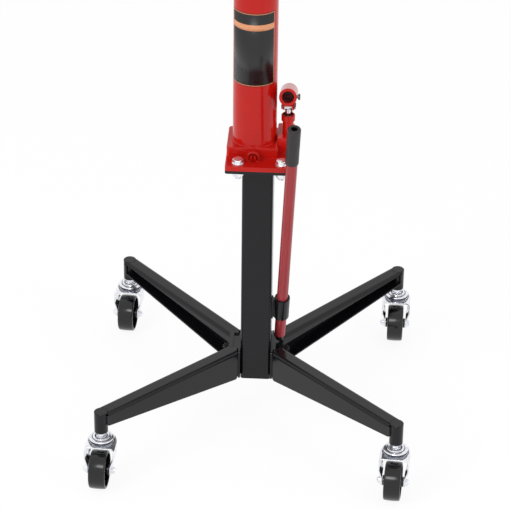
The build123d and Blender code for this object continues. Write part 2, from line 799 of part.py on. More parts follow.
def cross_pin(y, z, half_length):
    """Pin with a head at one end and a split pin collar at the other."""
    pin = rod_x(lever_pin_radius, pump_x - half_length, pump_x + half_length, y, z)
    head = lever_pin_radius + 1.6
    pin += rod_x(head, pump_x - half_length - 2, pump_x - half_length, y, z)
    return pin + rod_x(head, pump_x + half_length, pump_x + half_length + 2, y, z)


def lever_pin(point):
    """Pin through both ears of the lever."""
    y, z = point
    return cross_pin(y, z, ear_half_gap + ear_thickness + body_gap)


def fulcrum_post():
    """Post behind the pump, let into the pad, that carries the lever's rear pin."""
    y, z = fulcrum_point()
    wide = between_ears()
    post = fulcrum_base(z) + rod_x(fulcrum_post_half, pump_x - wide, pump_x + wide, y, z)
    return post - rod_x(lever_pin_radius, 0, 2 * pump_x, y, z)


def lever_frame():
    """Plane at the pump axis: X along the hand socket towards its front end, Y square to it, upwards."""
    return Plane(origin=(pump_x, 0, socket_axis_height),
                 x_dir=(0, -cos(lever_slope), sin(lever_slope)), z_dir=(-1, 0, 0))


def handle_socket():
    """Lever: the hand socket with two ears that take the piston pin and the rear pin."""
    front = hand_socket_front / cos(lever_slope)
    frame = lever_frame()
    lie = frame.location
    middle = front - hand_socket_length / 2
    barrel = lie * (Pos(middle, 0, 0) * Rot(0, 90, 0) * Cylinder(hand_socket_radius, hand_socket_length))
    ears = []
    for pin in (piston_pin_point(), fulcrum_point()):
        along, drop = lever_local(pin)
        lobe = make_hull([
            *(Pos(along, drop) * Circle(ear_radius)).edges(),
            *(Pos(along, -hand_socket_radius + 5) * Rectangle(3 * ear_radius, 4)).edges(),
        ])
        for side in (-1, 1):
            low = min(side * ear_half_gap, side * (ear_half_gap + ear_thickness))
            ears.append(lie * (Pos(0, 0, low) * extrude(lobe, ear_thickness)))
    lever = barrel + ears
    bore = handle_radius + handle_fit
    bore_middle = middle + hand_socket_back
    lever -= lie * (Pos(bore_middle, 0, 0) * Rot(0, 90, 0) * Cylinder(bore, hand_socket_length))
    for y, z in (piston_pin_point(), fulcrum_point()):
        lever -= rod_x(lever_pin_radius + running_clearance, 0, 2 * pump_x, y, z)
    return lever - thumb_screw_hole()


def lever_local(point):
    """Plane coordinates on the lever of a point given by its Y and Z."""
    y, z = point
    dz = z - socket_axis_height
    along = -y * cos(lever_slope) + dz * sin(lever_slope)
    up = y * sin(lever_slope) + dz * cos(lever_slope)
    return along, up


def thumb_screw_point():
    along = hand_socket_front / cos(lever_slope) - 12
    return -along * cos(lever_slope), socket_axis_height + along * sin(lever_slope)


def thumb_screw_hole():
    y, z = thumb_screw_point()
    return rod_x(thumb_screw_radius + running_clearance, pump_x, pump_x + 40, y, z)


def socket_thumb_screw():
    """Wing screw that locks the handle in the hand socket."""
    y, z = thumb_screw_point()
    tip = pump_x + handle_radius + handle_fit + 0.3
    face = pump_x + hand_socket_radius + 1.5
    screw = rod_x(thumb_screw_radius, tip, face + thumb_head_thickness, y, z)
    screw += rod_x(thumb_screw_radius + 1.2, face, face + thumb_head_thickness, y, z)
    head = thumb_head_thickness
    wing = make_hull([
        *(Pos(head / 2, 0) * Rectangle(head, 2 * thumb_screw_radius)).edges(),
        *(Pos(thumb_wing_reach, -thumb_wing_half) * Circle(thumb_wing_radius)).edges(),
        *(Pos(thumb_wing_reach, thumb_wing_half) * Circle(thumb_wing_radius)).edges(),
    ])
    flat = Plane(origin=(face, y, z), x_dir=(1, 0, 0), z_dir=(0, 1, 0))
    return screw + flat.location * extrude(wing, 1.25, both=True)


# ---- handle ----
def handle_foot():
    return Vector(column_half + handle_side_gap, handle_foot_back, leg_hub_top + handle_foot_rise)


def handle_plane():
    """Plane square to the handle at its foot; the handle passes just ahead of the top plate."""
    foot = handle_foot()
    beside = Vector(foot.X + handle_lean, -flange_depth / 2 - handle_pass, column_top)
    return Plane(origin=foot, x_dir=(0, 1, 0), z_dir=beside - foot)


def handle_tube():
    """Steel tube with a slotted key at its foot for the release valve."""
    inside = handle_radius - handle_wall
    tube = turned([(0, -handle_key_length), (7, -handle_key_length), (8, 1 - handle_key_length),
                   (8, 0), (handle_radius, 1), (handle_radius, handle_length - 3),
                   (inside, handle_length - 3), (inside, 8), (0, 8)])
    tube -= box(-1.7, 1.7, -20, 20, -handle_key_length - 1, -handle_key_length + 5)
    return handle_plane().location * tube


def handle_grip():
    length = handle_length
    low = length - grip_length
    shell = turned([(handle_radius, low), (grip_radius - 1.5, low), (grip_radius, low + 2),
                    (grip_radius, length - 5), (grip_radius - 1.2, length - 1.8),
                    (grip_radius - 4, length), (5.4, length), (5.4, length - 3), (handle_radius, length - 3)])
    return handle_plane().location * shell


def handle_clip():
    """Slit sleeve on a plate that stands off the column's right side."""
    bore = handle_radius + handle_fit
    sleeve = Cylinder(holder_radius, holder_length) - Cylinder(bore, 2 * holder_length)
    sleeve -= box(-2 * holder_radius, 0, -holder_slit / 2, holder_slit / 2, -holder_length, holder_length)
    place = handle_plane().location * Pos(0, 0, holder_distance)
    centre = place.position
    web = box(column_half, centre.X - bore - 1, centre.Y - holder_thickness, centre.Y + holder_thickness,
              centre.Z - holder_length / 2 + 4, centre.Z + holder_length / 2 - 8)
    web += box(column_half, column_half + 3, centre.Y - 12, centre.Y + 12,
               centre.Z - holder_length / 2 + 4, centre.Z + holder_length / 2 - 8)
    clear = place * Cylinder(bore + 1, 2 * holder_length)
    return place * sleeve + (web - clear)


# ---- saddle ----
def swivel_head():
    """Turntable on the ram's spigot with two cheeks for the fore and aft pin."""
    base = shoulder + body_gap
    outer = cheek_half_gap + cheek_thickness
    head = rod_z(swivel_radius, base, base + swivel_height)
    head = chamfer(head.edges().group_by(Axis.Z)[0], 2.0)
    for side in (-1, 1):
        low = min(side * cheek_half_gap, side * outer)
        cheek = box(low, low + cheek_thickness, -cheek_half_depth, cheek_half_depth, base + 4, tilt_axis)
        cheek += rod_x(cheek_half_depth, low, low + cheek_thickness, 0, tilt_axis)
        head += cheek
    head -= rod_z(spigot_radius + running_clearance, base - 1, shoulder + spigot_height + body_gap)
    head -= rod_x(tilt_pin_radius + stem_clearance, -60, 60, 0, tilt_axis)
    return Pos(tube_x, 0, 0) * head


def tilt_frame():
    """Block between the cheeks, bored one way for each tilt."""
    half_x = cheek_half_gap - body_gap
    half_y = lug_half_gap - body_gap
    frame = rod_x(cheek_half_depth, -half_x, half_x, 0, tilt_axis)
    frame += box(-half_x, half_x, -cheek_half_depth, cheek_half_depth, tilt_axis, tilt_axis + 4)
    frame += box(-cheek_half_depth, cheek_half_depth, -half_y, half_y, tilt_axis + 4, side_axis)
    frame += rod_y(side_axis_clear - 2, -half_y, half_y, 0, side_axis)
    frame -= rod_x(tilt_pin_radius + running_clearance, -60, 60, 0, tilt_axis)
    frame -= rod_y(tilt_pin_radius + stem_clearance, -60, 60, 0, side_axis)
    return Pos(tube_x, 0, 0) * frame


def tilt_pin():
    """Pin of the fore and aft tilt, its head on the left cheek."""
    outer = cheek_half_gap + cheek_thickness
    pin = rod_x(tilt_pin_radius, -outer - pin_out, outer + knob_length - 2, 0, tilt_axis)
    pin += Pos(-outer, 0, tilt_axis) * Rot(0, -90, 0) * hexagon(pin_head_flats, pin_head_height)
    return Pos(tube_x, 0, 0) * pin


def side_pin():
    """Pin of the side tilt, its head at the back."""
    outer = lug_half_gap + lug_thickness + body_gap
    pin = rod_y(tilt_pin_radius, -outer - knob_length + 2, outer + pin_out, 0, side_axis)
    pin += Pos(0, outer, side_axis) * Rot(-90, 0, 0) * hexagon(pin_head_flats, pin_head_height)
    return Pos(tube_x, 0, 0) * pin


def lobed_knob():
    """Four-lobed locking knob standing on Z = 0."""
    knob = Cylinder(knob_radius - 3, knob_length, align=standing)
    for turn in range(4):
        lobe = Cylinder(knob_lobe_radius, knob_length - 4, align=standing)
        knob += Rot(0, 0, 90 * turn + 45) * Pos(knob_radius - knob_lobe_radius, 0, 2) * lobe
    bore = tilt_pin_radius + running_clearance
    return knob - Pos(0, 0, -1) * Cylinder(bore, knob_length, align=standing)


def lock_knob_fore_aft():
    left = tube_x + cheek_half_gap + cheek_thickness + body_gap
    return Pos(left, 0, tilt_axis) * Rot(0, 90, 0) * lobed_knob()


def lock_knob_side():
    front = -(lug_half_gap + lug_thickness + 2 * body_gap)
    return Pos(tube_x, front, side_axis) * Rot(90, 0, 0) * lobed_knob()


def saddle_plate():
    """Table with a centre window, strap slots, a raised frame that carries the load, and two lugs."""
    plate = extrude(RectangleRounded(plate_length, plate_depth, plate_corner), plate_thickness)
    plate -= extrude(Circle(plate_window_radius) & Rectangle(4 * lug_half_gap, 2 * lug_half_gap - 6),
                     plate_thickness)
    for x in (-1, 1):
        slot = SlotOverall(strap_slot_length, 2 * strap_slot_half_width)
        plate -= Pos(x * strap_slot_x, 0) * extrude(slot, plate_thickness)
        for y in (-1, 1):
            hole = extrude(Circle(arm_bolt_radius + stem_clearance), plate_thickness)
            plate -= Pos(x * arm_pivot_x, y * arm_pivot_y) * hole
    plate = Pos(0, 0, plate_bottom) * plate
    hollow = rest_frame_wall
    plate += box(-rest_frame_x, rest_frame_x, -rest_frame_y, rest_frame_y, plate_top - 1, rest_top) - box(
        hollow - rest_frame_x, rest_frame_x - hollow, hollow - rest_frame_y, rest_frame_y - hollow,
        plate_bottom, rest_top + 1)
    for side in (-1, 1):
        low = min(side * lug_half_gap, side * (lug_half_gap + lug_thickness))
        lug = box(-lug_half_width, lug_half_width, low, low + lug_thickness, side_axis, plate_bottom + 1)
        lug += rod_y(lug_half_width * lug_foot, low, low + lug_thickness, 0, side_axis)
        plate += lug
    plate -= rod_y(tilt_pin_radius + running_clearance, -60, 60, 0, side_axis)
    return Pos(tube_x, 0, 0) * plate


def saddle_arm():
    """Swing arm: a flat bar with a raised, toothed finger at its end."""
    base = plate_top + body_gap
    bar = extrude(SlotOverall(arm_reach + arm_width, arm_width), arm_thickness)
    bar &= box(-arm_width, arm_reach - arm_width / 2 + 6, -arm_width, arm_width, -1, finger_height)
    bar = Pos(arm_reach / 2, 0, base) * bar
    end = arm_reach
    finger = box(end - arm_thickness, end, -arm_width / 2, arm_width / 2, base, base + finger_height)
    finger = fillet(finger.edges().filter_by(Axis.X).sort_by(Axis.Z)[-2:], finger_corner)
    bar = bar & box(-arm_width, end, -arm_width, arm_width, base - 1, base + finger_height)
    root = end - arm_thickness
    rib = Plane.XZ * make_face(Polyline((root - finger_rib_foot, base + arm_thickness - 0.5),
                                        (root + 1, base + arm_thickness - 0.5),
                                        (root + 1, base + finger_rib_height), close=True))
    bar += finger + extrude(rib, finger_rib_half, both=True)
    return bar - rod_z(arm_bolt_radius + running_clearance, base - 5, base + 20)


def placed_arm(key):
    side, end = corners[key]
    angle = degrees(atan2(end * arm_toe_out, side))
    return Pos(tube_x + side * arm_pivot_x, end * arm_pivot_y, 0) * Rot(0, 0, angle) * saddle_arm()


def arm_bolts():
    """Four shoulder bolts with wing nuts that hold the arms down."""
    pieces = []
    seat = arm_bolt_seat
    for side in (-1, 1):
        for end in (-1, 1):
            bolt = rod_z(arm_bolt_radius, plate_bottom - 2, seat + 7)
            bolt += Pos(0, 0, plate_bottom) * Rot(180, 0, 0) * hexagon(16, 6)
            bolt += Pos(0, 0, seat) * Cylinder(9, 1.6, align=standing)
            bolt += Pos(0, 0, seat + 1.6) * Cone(7.5, 5.5, 6, align=standing)
            wing = make_hull([
                *(Pos(0, 4.6) * Rectangle(12, 4)).edges(),
                *(Pos(-12, wing_tip_rise) * Circle(wing_tip_radius)).edges(),
                *(Pos(12, wing_tip_rise) * Circle(wing_tip_radius)).edges(),
            ]) - Pos(0, wing_tip_rise + 1) * Rectangle(11, 12)
            bolt += Pos(0, 0, seat) * extrude(Plane.XZ * wing, 1.4, both=True)
            pieces.append(Pos(tube_x + side * arm_pivot_x, end * arm_pivot_y, 0) * bolt)
    return group(pieces)


def build_parts():
    parts = {
        "column_tube": column_tube(),
        "column_top_plate": column_top_plate(),
        "hub_plates": group([hub_plate(), mirror(hub_plate(), about=Plane.YZ)]),
        "hub_spacers": hub_spacers(),
        "hub_bolts": hub_bolts(),
        "caster_sockets": group([at_corner(caster_socket(), key) for key in corners]),
        "caster_stems": group([at_corner(caster_stem(), key) for key in corners]),
        "caster_races": group([at_corner(caster_race(), key) for key in corners]),
        "base_casting": base_casting(),
        "flange_bolts": flange_bolts(),
        "flange_nuts": flange_nuts(),
        "flange_washers": flange_washers(),
        "reservoir_tube": reservoir_tube(),
        "filler_plug": filler_plug(),
        "pressure_cylinder": pressure_cylinder(),
        "tube_gland_nut": tube_gland_nut(),
        "ram_outer": ram_outer(),
        "outer_piston_seal": outer_piston_seal(),
        "ram_outer_gland": ram_outer_gland(),
        "ram_inner": ram_inner(),
        "inner_piston_seal": inner_piston_seal(),
        "release_valve": release_valve(),
        "pump_cylinder": pump_cylinder(),
        "pump_piston": pump_piston(),
        "piston_pin": lever_pin(piston_pin_point()),
        "fulcrum_post": fulcrum_post(),
        "fulcrum_pin": lever_pin(fulcrum_point()),
        "handle_socket": handle_socket(),
        "socket_thumb_screw": socket_thumb_screw(),
        "handle_tube": handle_tube(),
        "handle_grip": handle_grip(),
        "handle_clip": handle_clip(),
        "swivel_head": swivel_head(),
        "tilt_pin": tilt_pin(),
        "tilt_frame": tilt_frame(),
        "side_pin": side_pin(),
        "lock_knob_fore_aft": lock_knob_fore_aft(),
        "lock_knob_side": lock_knob_side(),
        "saddle_plate": saddle_plate(),
        "arm_bolts": arm_bolts(),
    }
    front_left = leg()
    fork = caster_fork()
    wheel = caster_wheel()
    axle = caster_axle()
    for key, (side, end) in corners.items():
        name = corner_names[key]
        parts["leg_" + name] = mirrored(front_left, side, end)
        parts["caster_fork_" + name] = at_corner(fork, key)
        parts["caster_wheel_" + name] = at_corner(wheel, key)
        parts["caster_axle_" + name] = at_corner(axle, key)
        parts["saddle_arm_" + name] = placed_arm(key)
    return parts


os.makedirs("parts", exist_ok=True)
for node, shape in build_parts().items():
    export_step(shape, "parts/" + node + ".step")
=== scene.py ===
"""Finishes, fittings and stage for a telescoping transmission jack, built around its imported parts."""

import json
from math import atan2, cos, pi, radians, sin

import bmesh
import bpy
from bpy.props import FloatProperty, FloatVectorProperty, IntProperty, PointerProperty
from mathutils import Matrix, Vector


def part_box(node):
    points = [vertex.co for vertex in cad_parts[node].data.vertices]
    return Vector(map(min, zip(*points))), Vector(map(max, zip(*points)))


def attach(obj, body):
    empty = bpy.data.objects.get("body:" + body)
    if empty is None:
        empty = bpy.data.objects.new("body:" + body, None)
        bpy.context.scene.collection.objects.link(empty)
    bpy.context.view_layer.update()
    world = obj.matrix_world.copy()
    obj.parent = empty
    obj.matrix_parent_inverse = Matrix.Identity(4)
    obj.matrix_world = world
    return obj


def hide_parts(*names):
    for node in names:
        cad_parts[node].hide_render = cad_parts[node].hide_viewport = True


bl_info = {
    "name": "Transmission Jack",
    "version": (1, 0, 0),
    "blender": (4, 5, 0),
    "location": "3D View > Sidebar > Jack",
    "description": "Finishes, wheels, welds, threads, panel, grip and stage for a transmission jack",
    "category": "Object",
}

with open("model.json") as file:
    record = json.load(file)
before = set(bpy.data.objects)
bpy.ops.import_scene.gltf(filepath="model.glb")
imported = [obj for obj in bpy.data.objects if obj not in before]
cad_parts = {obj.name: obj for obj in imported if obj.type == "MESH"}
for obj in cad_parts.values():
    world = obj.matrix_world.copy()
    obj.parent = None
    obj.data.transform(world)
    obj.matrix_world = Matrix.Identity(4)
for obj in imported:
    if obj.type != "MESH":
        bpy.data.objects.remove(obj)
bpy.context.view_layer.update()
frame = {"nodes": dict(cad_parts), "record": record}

CORNERS = {"front_left": (-1, -1), "front_right": (1, -1), "back_left": (-1, 1), "back_right": (1, 1)}
TUBE_LOW, TUBE_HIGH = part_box("reservoir_tube")
TUBE_X = (TUBE_LOW.x + TUBE_HIGH.x) / 2
TUBE_RADIUS = (TUBE_HIGH.x - TUBE_LOW.x) / 2
JOINTS = {joint["name"]: joint for joint in frame["record"]["behaviour"]["joints"]}
NODE_SLOT = {part["node"]: part["material_slot"] for part in frame["record"]["subparts"]}
WHEEL_LOW, WHEEL_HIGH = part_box("caster_wheel_back_right")
LEG_RUN = (0.231, 0.244)         # how far a leg runs, sideways and lengthwise
KEY_BLACK_AND_HOLE_SHADE = (0.012, 0.012, 0.014)   # black on the handle's red: its dark key, and painted shade seen down the grip's hole
PAINTED_RING_SHADE = (0.05, 0.055, 0.075)    # painted shade: dark rings in the caster races
RACE_SHADE_RINGS = ((0.0103, 0.0124), (0.0169, 0.0184), (0.0240, 0.0256))


# ---- sizes and colours that a user would change ----
def length(name, description, default):
    """A length in metres, small enough for a fitting."""
    return FloatProperty(name=name, description=description, default=default, min=0.0,
                         precision=4, subtype="DISTANCE", unit="LENGTH")


def colour(name, description, default):
    """A colour in linear light."""
    return FloatVectorProperty(name=name, description=description, default=default, size=3,
                               min=0.0, max=1.0, subtype="COLOR")


def share(name, description, default):
    """A plain number from 0 to 1."""
    return FloatProperty(name=name, description=description, default=default, min=0.0, max=1.0,
                         subtype="FACTOR")


class JackFinishSettings(bpy.types.PropertyGroup):
    """Colours and gloss of the jack's finishes."""

    red: colour("Red paint", "Gloss paint on the hydraulic unit", (0.58, 0.0078, 0.004))
    black: colour("Black paint", "Gloss paint on the base and column", (0.0072, 0.0072, 0.0092))
    handle: colour("Handle paint", "Thin gloss paint on the handle tube", (0.40, 0.040, 0.048))
    zinc: colour("Zinc plate", "Plating on casters and fasteners", (0.90, 0.91, 0.98))
    chrome: colour("Chrome", "Hard chrome on the rams and the plunger", (0.74, 0.74, 0.75))
    steel: colour("Dark steel", "Oiled steel of pins and screws", (0.16, 0.155, 0.15))
    plastic: colour("Wheel plastic", "Moulded black of the wheels", (0.0025, 0.0025, 0.003))
    rubber: colour("Grip rubber", "Soft grip on the handle", (0.024, 0.019, 0.022))
    paint_roughness: share("Paint roughness", "0 is a mirror", 0.16)
    paint_gloss: share("Paint gloss", "Strength of the paint's reflections", 0.3)
    peel: length("Orange peel", "Height of the ripple in sprayed paint", 0.00006)
    handle_key: length("Handle key", "Top of the handle's dark key, above its foot", 0.0005)
    handle_grip: length("Handle grip", "Foot of the grip, above the handle's foot", 0.4615)
    edge: length("Broken edge", "Radius that softens every sharp edge of the steel", 0.0007)


class JackWheelSettings(bpy.types.PropertyGroup):
    """Shape of the moulded caster wheels."""

    radius: length("Radius", "Outside radius of the tread", (WHEEL_HIGH.z - WHEEL_LOW.z) / 2)
    tread: length("Tread width", "Width of the tread", 0.0320)
    hub: length("Hub width", "Width of the hub over both ends", 0.0404)
    hub_radius: length("Hub radius", "Outside radius of the hub", 0.010)
    bore: length("Bore radius", "Radius of the bore for the axle", 0.00406)
    crown: length("Crown", "How far the tread rises at its middle", 0.0006)
    edge: length("Tread edge", "Radius at each edge of the tread", 0.0032)
    rim: length("Rim", "Thickness of the rim beside the recess", 0.0055)
    web: length("Web", "Thickness of the wheel between rim and hub", 0.009)
    segments: IntProperty(name="Segments", description="Faces round the wheel", default=96, min=12)


class JackWeldSettings(bpy.types.PropertyGroup):
    """Size of the weld beads."""

    radius: length("Bead radius", "Half the width of a bead", 0.0020)
    corner_radius: length("Socket bead radius", "Half the width of a bead at a caster socket", 0.0034)
    pitch: length("Ripple pitch", "Distance from ripple to ripple", 0.0032)
    ripple: share("Ripple", "Depth of a ripple, as a share of the bead's radius", 0.16)


class JackThreadSettings(bpy.types.PropertyGroup):
    """Threads on the bolt ends that stand out of their nuts."""

    pitch: length("Pitch", "Distance from turn to turn", 0.00125)
    depth: length("Depth", "How far a thread's ridge stands out", 0.0004)


class JackPanelSettings(bpy.types.PropertyGroup):
    """Blank panel on the reservoir tube."""

    bottom: length("Bottom", "Height of its lower edge", 0.730)
    top: length("Top", "Height of its upper edge", 0.879)
    left: FloatProperty(name="Left", description="Angle of its left edge from the front",
                        default=radians(-73), subtype="ANGLE", unit="ROTATION")
    right: FloatProperty(name="Right", description="Angle of its right edge from the front",
                         default=radians(59), subtype="ANGLE", unit="ROTATION")
    border: length("Border", "Width of the border line", 0.0012)
    inset: length("Inset", "From the panel's edge to the border line", 0.0012)
    band_bottom: length("Band bottom", "Height of the lower edge of the colour band", 0.844)
    band_height: length("Band height", "Height of the colour band", 0.012)
    field: colour("Field", "Colour of the panel", (0.008, 0.008, 0.009))
    line: colour("Line", "Colour of the border and the band", (0.86, 0.36, 0.17))


class JackRidgeSettings(bpy.types.PropertyGroup):
    """Gripping ridges on the inner faces of the saddle's fingers."""

    count: IntProperty(name="Ridges", description="Ridges on each finger", default=6, min=1)
    height: length("Height", "How far a ridge stands out", 0.0011)
    width: length("Width", "Length of a ridge, across the finger", 0.024)


class JackStageSettings(bpy.types.PropertyGroup):
    """Floor, light and camera."""

    floor: colour("Floor", "Colour of the floor", (0.86, 0.86, 0.865))
    world: FloatProperty(name="Sky light", description="Even light from all round", default=0.62, min=0.0)
    whiteness: share("Floor whiteness", "Share of plain white in the floor as it is seen", 0.86)
    key: FloatProperty(name="Key light", description="Soft light from the left", default=46.0, min=0.0,
                       subtype="POWER", unit="POWER")
    fill: FloatProperty(name="Fill light", description="Soft light from the right", default=20.0,
                        min=0.0, subtype="POWER", unit="POWER")
    sparkle: FloatProperty(name="Sparkle", description="Soft light in front that only gloss shows",
                           default=26.0, min=0.0, subtype="POWER", unit="POWER")
    camera: FloatVectorProperty(name="Camera", description="Where the camera stands",
                                default=(0.1907, -4.0598, 2.7770), subtype="TRANSLATION", unit="LENGTH")
    target: FloatVectorProperty(name="Target", description="What the camera looks at",
                                default=(-0.0047, 0.0, 0.3415), subtype="TRANSLATION", unit="LENGTH")
    roll: FloatProperty(name="Roll", description="Turn of the camera about its own line of sight",
                        default=radians(0.68), subtype="ANGLE", unit="ROTATION")
    lens: FloatProperty(name="Lens", description="Focal length on a 36 mm sensor", default=171.15,
                        min=1.0, subtype="DISTANCE_CAMERA")


class JackSettings(bpy.types.PropertyGroup):
    """All of the jack's settings."""

    finish: PointerProperty(type=JackFinishSettings)
    wheel: PointerProperty(type=JackWheelSettings)
    weld: PointerProperty(type=JackWeldSettings)
    thread: PointerProperty(type=JackThreadSettings)
    panel: PointerProperty(type=JackPanelSettings)
    ridge: PointerProperty(type=JackRidgeSettings)
    stage: PointerProperty(type=JackStageSettings)


# ---- node trees ----
def add(tree, kind, inputs=None, **attributes):
    """Adds a node; an input is given a value, or joined to a socket."""
    node = tree.nodes.new(kind)
    for name, value in attributes.items():
        setattr(node, name, value)
    for key, value in (inputs or {}).items():
        if isinstance(value, bpy.types.NodeSocket):
            tree.links.new(value, node.inputs[key])
        else:
            node.inputs[key].default_value = value
    return node


def math(tree, operation, *values):
    return add(tree, "ShaderNodeMath", dict(enumerate(values)), operation=operation).outputs[0]


def noise(tree, where, scale, detail=2.0):
    return add(tree, "ShaderNodeTexNoise", {"Vector": where, "Scale": scale, "Detail": detail}).outputs["Fac"]


def spread(tree, value, low, high, start=0.3, end=0.7):
    """Carries a noise value from start..end to low..high."""
    inputs = {"Value": value, "From Min": start, "From Max": end, "To Min": low, "To Max": high}
    return add(tree, "ShaderNodeMapRange", inputs).outputs["Result"]


def blend_colours(tree, factor, first, second):
    node = add(tree, "ShaderNodeMix", data_type="RGBA")
    tree.links.new(factor, node.inputs["Factor"])
    for socket, value in (("A", first), ("B", second)):
        slot = next(s for s in node.inputs if s.name == socket and s.type == "RGBA")
        if isinstance(value, bpy.types.NodeSocket):
            tree.links.new(value, slot)
        else:
            slot.default_value = (*value, 1.0)
    return next(s for s in node.outputs if s.type == "RGBA")


def tinted(base, factor):
    return tuple(min(1.0, channel * factor) for channel in base)


def blank(name):
    """A new material with its tree, its shader and object coordinates."""
    material = bpy.data.materials.new(name)
    material.use_nodes = True
    tree = material.node_tree
    shader = tree.nodes["Principled BSDF"]
    where = add(tree, "ShaderNodeTexCoord").outputs["Object"]
    return material, tree, shader, where


def surface(tree, shader, height, distance, edge=0.0):
    """Bump from a height, on edges that are rounded where edge is given."""
    inputs = {"Height": height, "Distance": distance, "Strength": 1.0}
    if edge:
        rounded = add(tree, "ShaderNodeBevel", {"Radius": edge}, samples=4)
        inputs["Normal"] = rounded.outputs["Normal"]
    bump = add(tree, "ShaderNodeBump", inputs)
    tree.links.new(bump.outputs["Normal"], shader.inputs["Normal"])


def beyond(tree, where, start, axis, reach):
    """1 on the parts of a bar that lie further than reach along it, else 0."""
    offset = add(tree, "ShaderNodeVectorMath", {0: where, 1: start}, operation="SUBTRACT").outputs[0]
    along = add(tree, "ShaderNodeVectorMath", {0: offset, 1: axis}, operation="DOT_PRODUCT").outputs["Value"]
    return math(tree, "GREATER_THAN", along, reach)


def paint(name, base, roughness, settings, grain=0.0, darkened_lengths=()):
    """Sprayed gloss paint: faint drift in tone, orange peel, cast grain and dark lengths where given, partly
    painted shade.
    """
    material, tree, shader, where = blank(name)
    drift = noise(tree, where, 14.0, 3.0)
    tone = blend_colours(tree, spread(tree, drift, 0.0, 1.0), tinted(base, 0.93), tinted(base, 1.07))
    for start, axis, low, high in darkened_lengths:
        inside = math(tree, "SUBTRACT", beyond(tree, where, start, axis, low),
                      beyond(tree, where, start, axis, high))
        tone = blend_colours(tree, inside, tone, KEY_BLACK_AND_HOLE_SHADE)
    tree.links.new(tone, shader.inputs["Base Color"])
    haze = spread(tree, noise(tree, where, 55.0, 4.0), roughness * 0.9, roughness * 1.2)
    tree.links.new(haze, shader.inputs["Roughness"])
    peel = noise(tree, where, 330.0, 1.0)
    if grain:
        skin = math(tree, "MULTIPLY", noise(tree, where, 520.0, 4.0), grain)
        peel = math(tree, "ADD", peel, skin)
    surface(tree, shader, peel, settings.peel, settings.edge)
    shader.inputs["Specular IOR Level"].default_value = settings.paint_gloss
    return material


def shade_rings(tree, where, tone, centres, rings):
    """Paints shade as dark rings between radii low and high round upright axes."""
    nearest = 1.0
    for centre in centres:
        offset = add(tree, "ShaderNodeVectorMath", {0: where, 1: centre}, operation="SUBTRACT").outputs[0]
        flat = add(tree, "ShaderNodeVectorMath", {0: offset, 1: (1.0, 1.0, 0.0)},
                   operation="MULTIPLY").outputs[0]
        away = add(tree, "ShaderNodeVectorMath", {0: flat}, operation="LENGTH").outputs["Value"]
        nearest = math(tree, "MINIMUM", away, nearest)
    for low, high in rings:
        inside = math(tree, "MULTIPLY", math(tree, "GREATER_THAN", nearest, low),
                      math(tree, "LESS_THAN", nearest, high))
        tone = blend_colours(tree, inside, tone, PAINTED_RING_SHADE)
    return tone


def metal(name, base, low, high, settings, pattern=(60.0, 60.0, 60.0), depth=0.00002, bare=1.0,
          centres=(), rings=()):
    """Bare or plated metal: mottled gloss, fine marks that run as pattern says, a pale film below bare 1, and
    painted shade in rings where given.
    """
    material, tree, shader, where = blank(name)
    shader.inputs["Metallic"].default_value = bare
    mottle = noise(tree, where, 130.0, 4.0)
    tone = blend_colours(tree, spread(tree, mottle, 0.0, 1.0), tinted(base, 0.84), tinted(base, 1.08))
    # painted shade: dark rings round each caster's swivel axis
    if rings:
        tone = shade_rings(tree, where, tone, centres, rings)
    tree.links.new(tone, shader.inputs["Base Color"])
    stretched = add(tree, "ShaderNodeMapping", {"Vector": where, "Scale": pattern}).outputs["Vector"]
    marks = noise(tree, stretched, 12.0, 3.0)
    tree.links.new(spread(tree, marks, low, high), shader.inputs["Roughness"])
    surface(tree, shader, marks, depth, settings.edge)
    return material


def moulded(name, base, low, high, grain, depth, settings):
    """Moulded plastic or rubber: fine grain and patchy sheen."""
    material, tree, shader, where = blank(name)
    patch = noise(tree, where, 40.0, 3.0)
    tone = blend_colours(tree, spread(tree, patch, 0.0, 1.0), tinted(base, 0.8), tinted(base, 1.25))
    tree.links.new(tone, shader.inputs["Base Color"])
    tree.links.new(spread(tree, patch, low, high), shader.inputs["Roughness"])
    surface(tree, shader, noise(tree, where, grain, 3.0), depth, settings.edge)
    return material


def make_finishes(settings):
    """Every finish of the jack, by the record's slot."""
    s = settings
    rough = s.paint_roughness
    foot, axis = (Vector(JOINTS["handle_lift_out"][key]) for key in ("pos_m", "axis"))
    clip = [(corner.z - foot.z) / axis.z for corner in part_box("handle_clip")]
    slack = 0.004
    swivels = [Vector(JOINTS["caster_swivel_" + corner]["pos_m"]) for corner in CORNERS]
    # dark lengths on the handle: the key at its foot, under the clip, and above the grip's foot, where it is
    # painted shade seen down the grip's hole
    dark = [(foot, axis, low, high) for low, high in
            ((-1.0, s.handle_key), (clip[0] + slack, clip[1] - slack), (s.handle_grip + slack, 1.0))]
    return {
        "black_paint": paint("black_gloss_paint", s.black, rough, s),
        "arm_paint": paint("black_saddle_paint", s.black, rough * 1.3, s),
        "red_paint": paint("red_gloss_paint", s.red, rough, s),
        "cast_paint": paint("red_paint_on_casting", s.red, rough * 1.15, s, grain=1.2),
        "handle_paint": paint("red_handle_paint", s.handle, rough * 0.9, s, darkened_lengths=dark),
        # the zinc carries painted shade in rings round each caster's swivel
        "zinc_plate": metal("bright_zinc_plating", s.zinc, 0.08, 0.16, s, bare=0.88, centres=swivels,
                            rings=RACE_SHADE_RINGS),
        "hard_chrome": metal("polished_chrome", s.chrome, 0.05, 0.12, s, (8.0, 8.0, 220.0), 0.000006),
        "dark_steel": metal("darkened_steel", s.steel, 0.28, 0.46, s),
        "wheel_plastic": moulded("glossy_wheel_plastic", s.plastic, 0.12, 0.22, 700.0, 0.000012, s),
        "seal_rubber": moulded("soft_seal_rubber", tinted(s.rubber, 0.25), 0.5, 0.65, 500.0, 0.00004, s),
        "grip_rubber": moulded("soft_grip_rubber", s.rubber, 0.42, 0.60, 900.0, 0.00008, s),
        "knob_plastic": moulded("satin_knob_plastic", s.plastic, 0.38, 0.5, 600.0, 0.00004, s),
    }


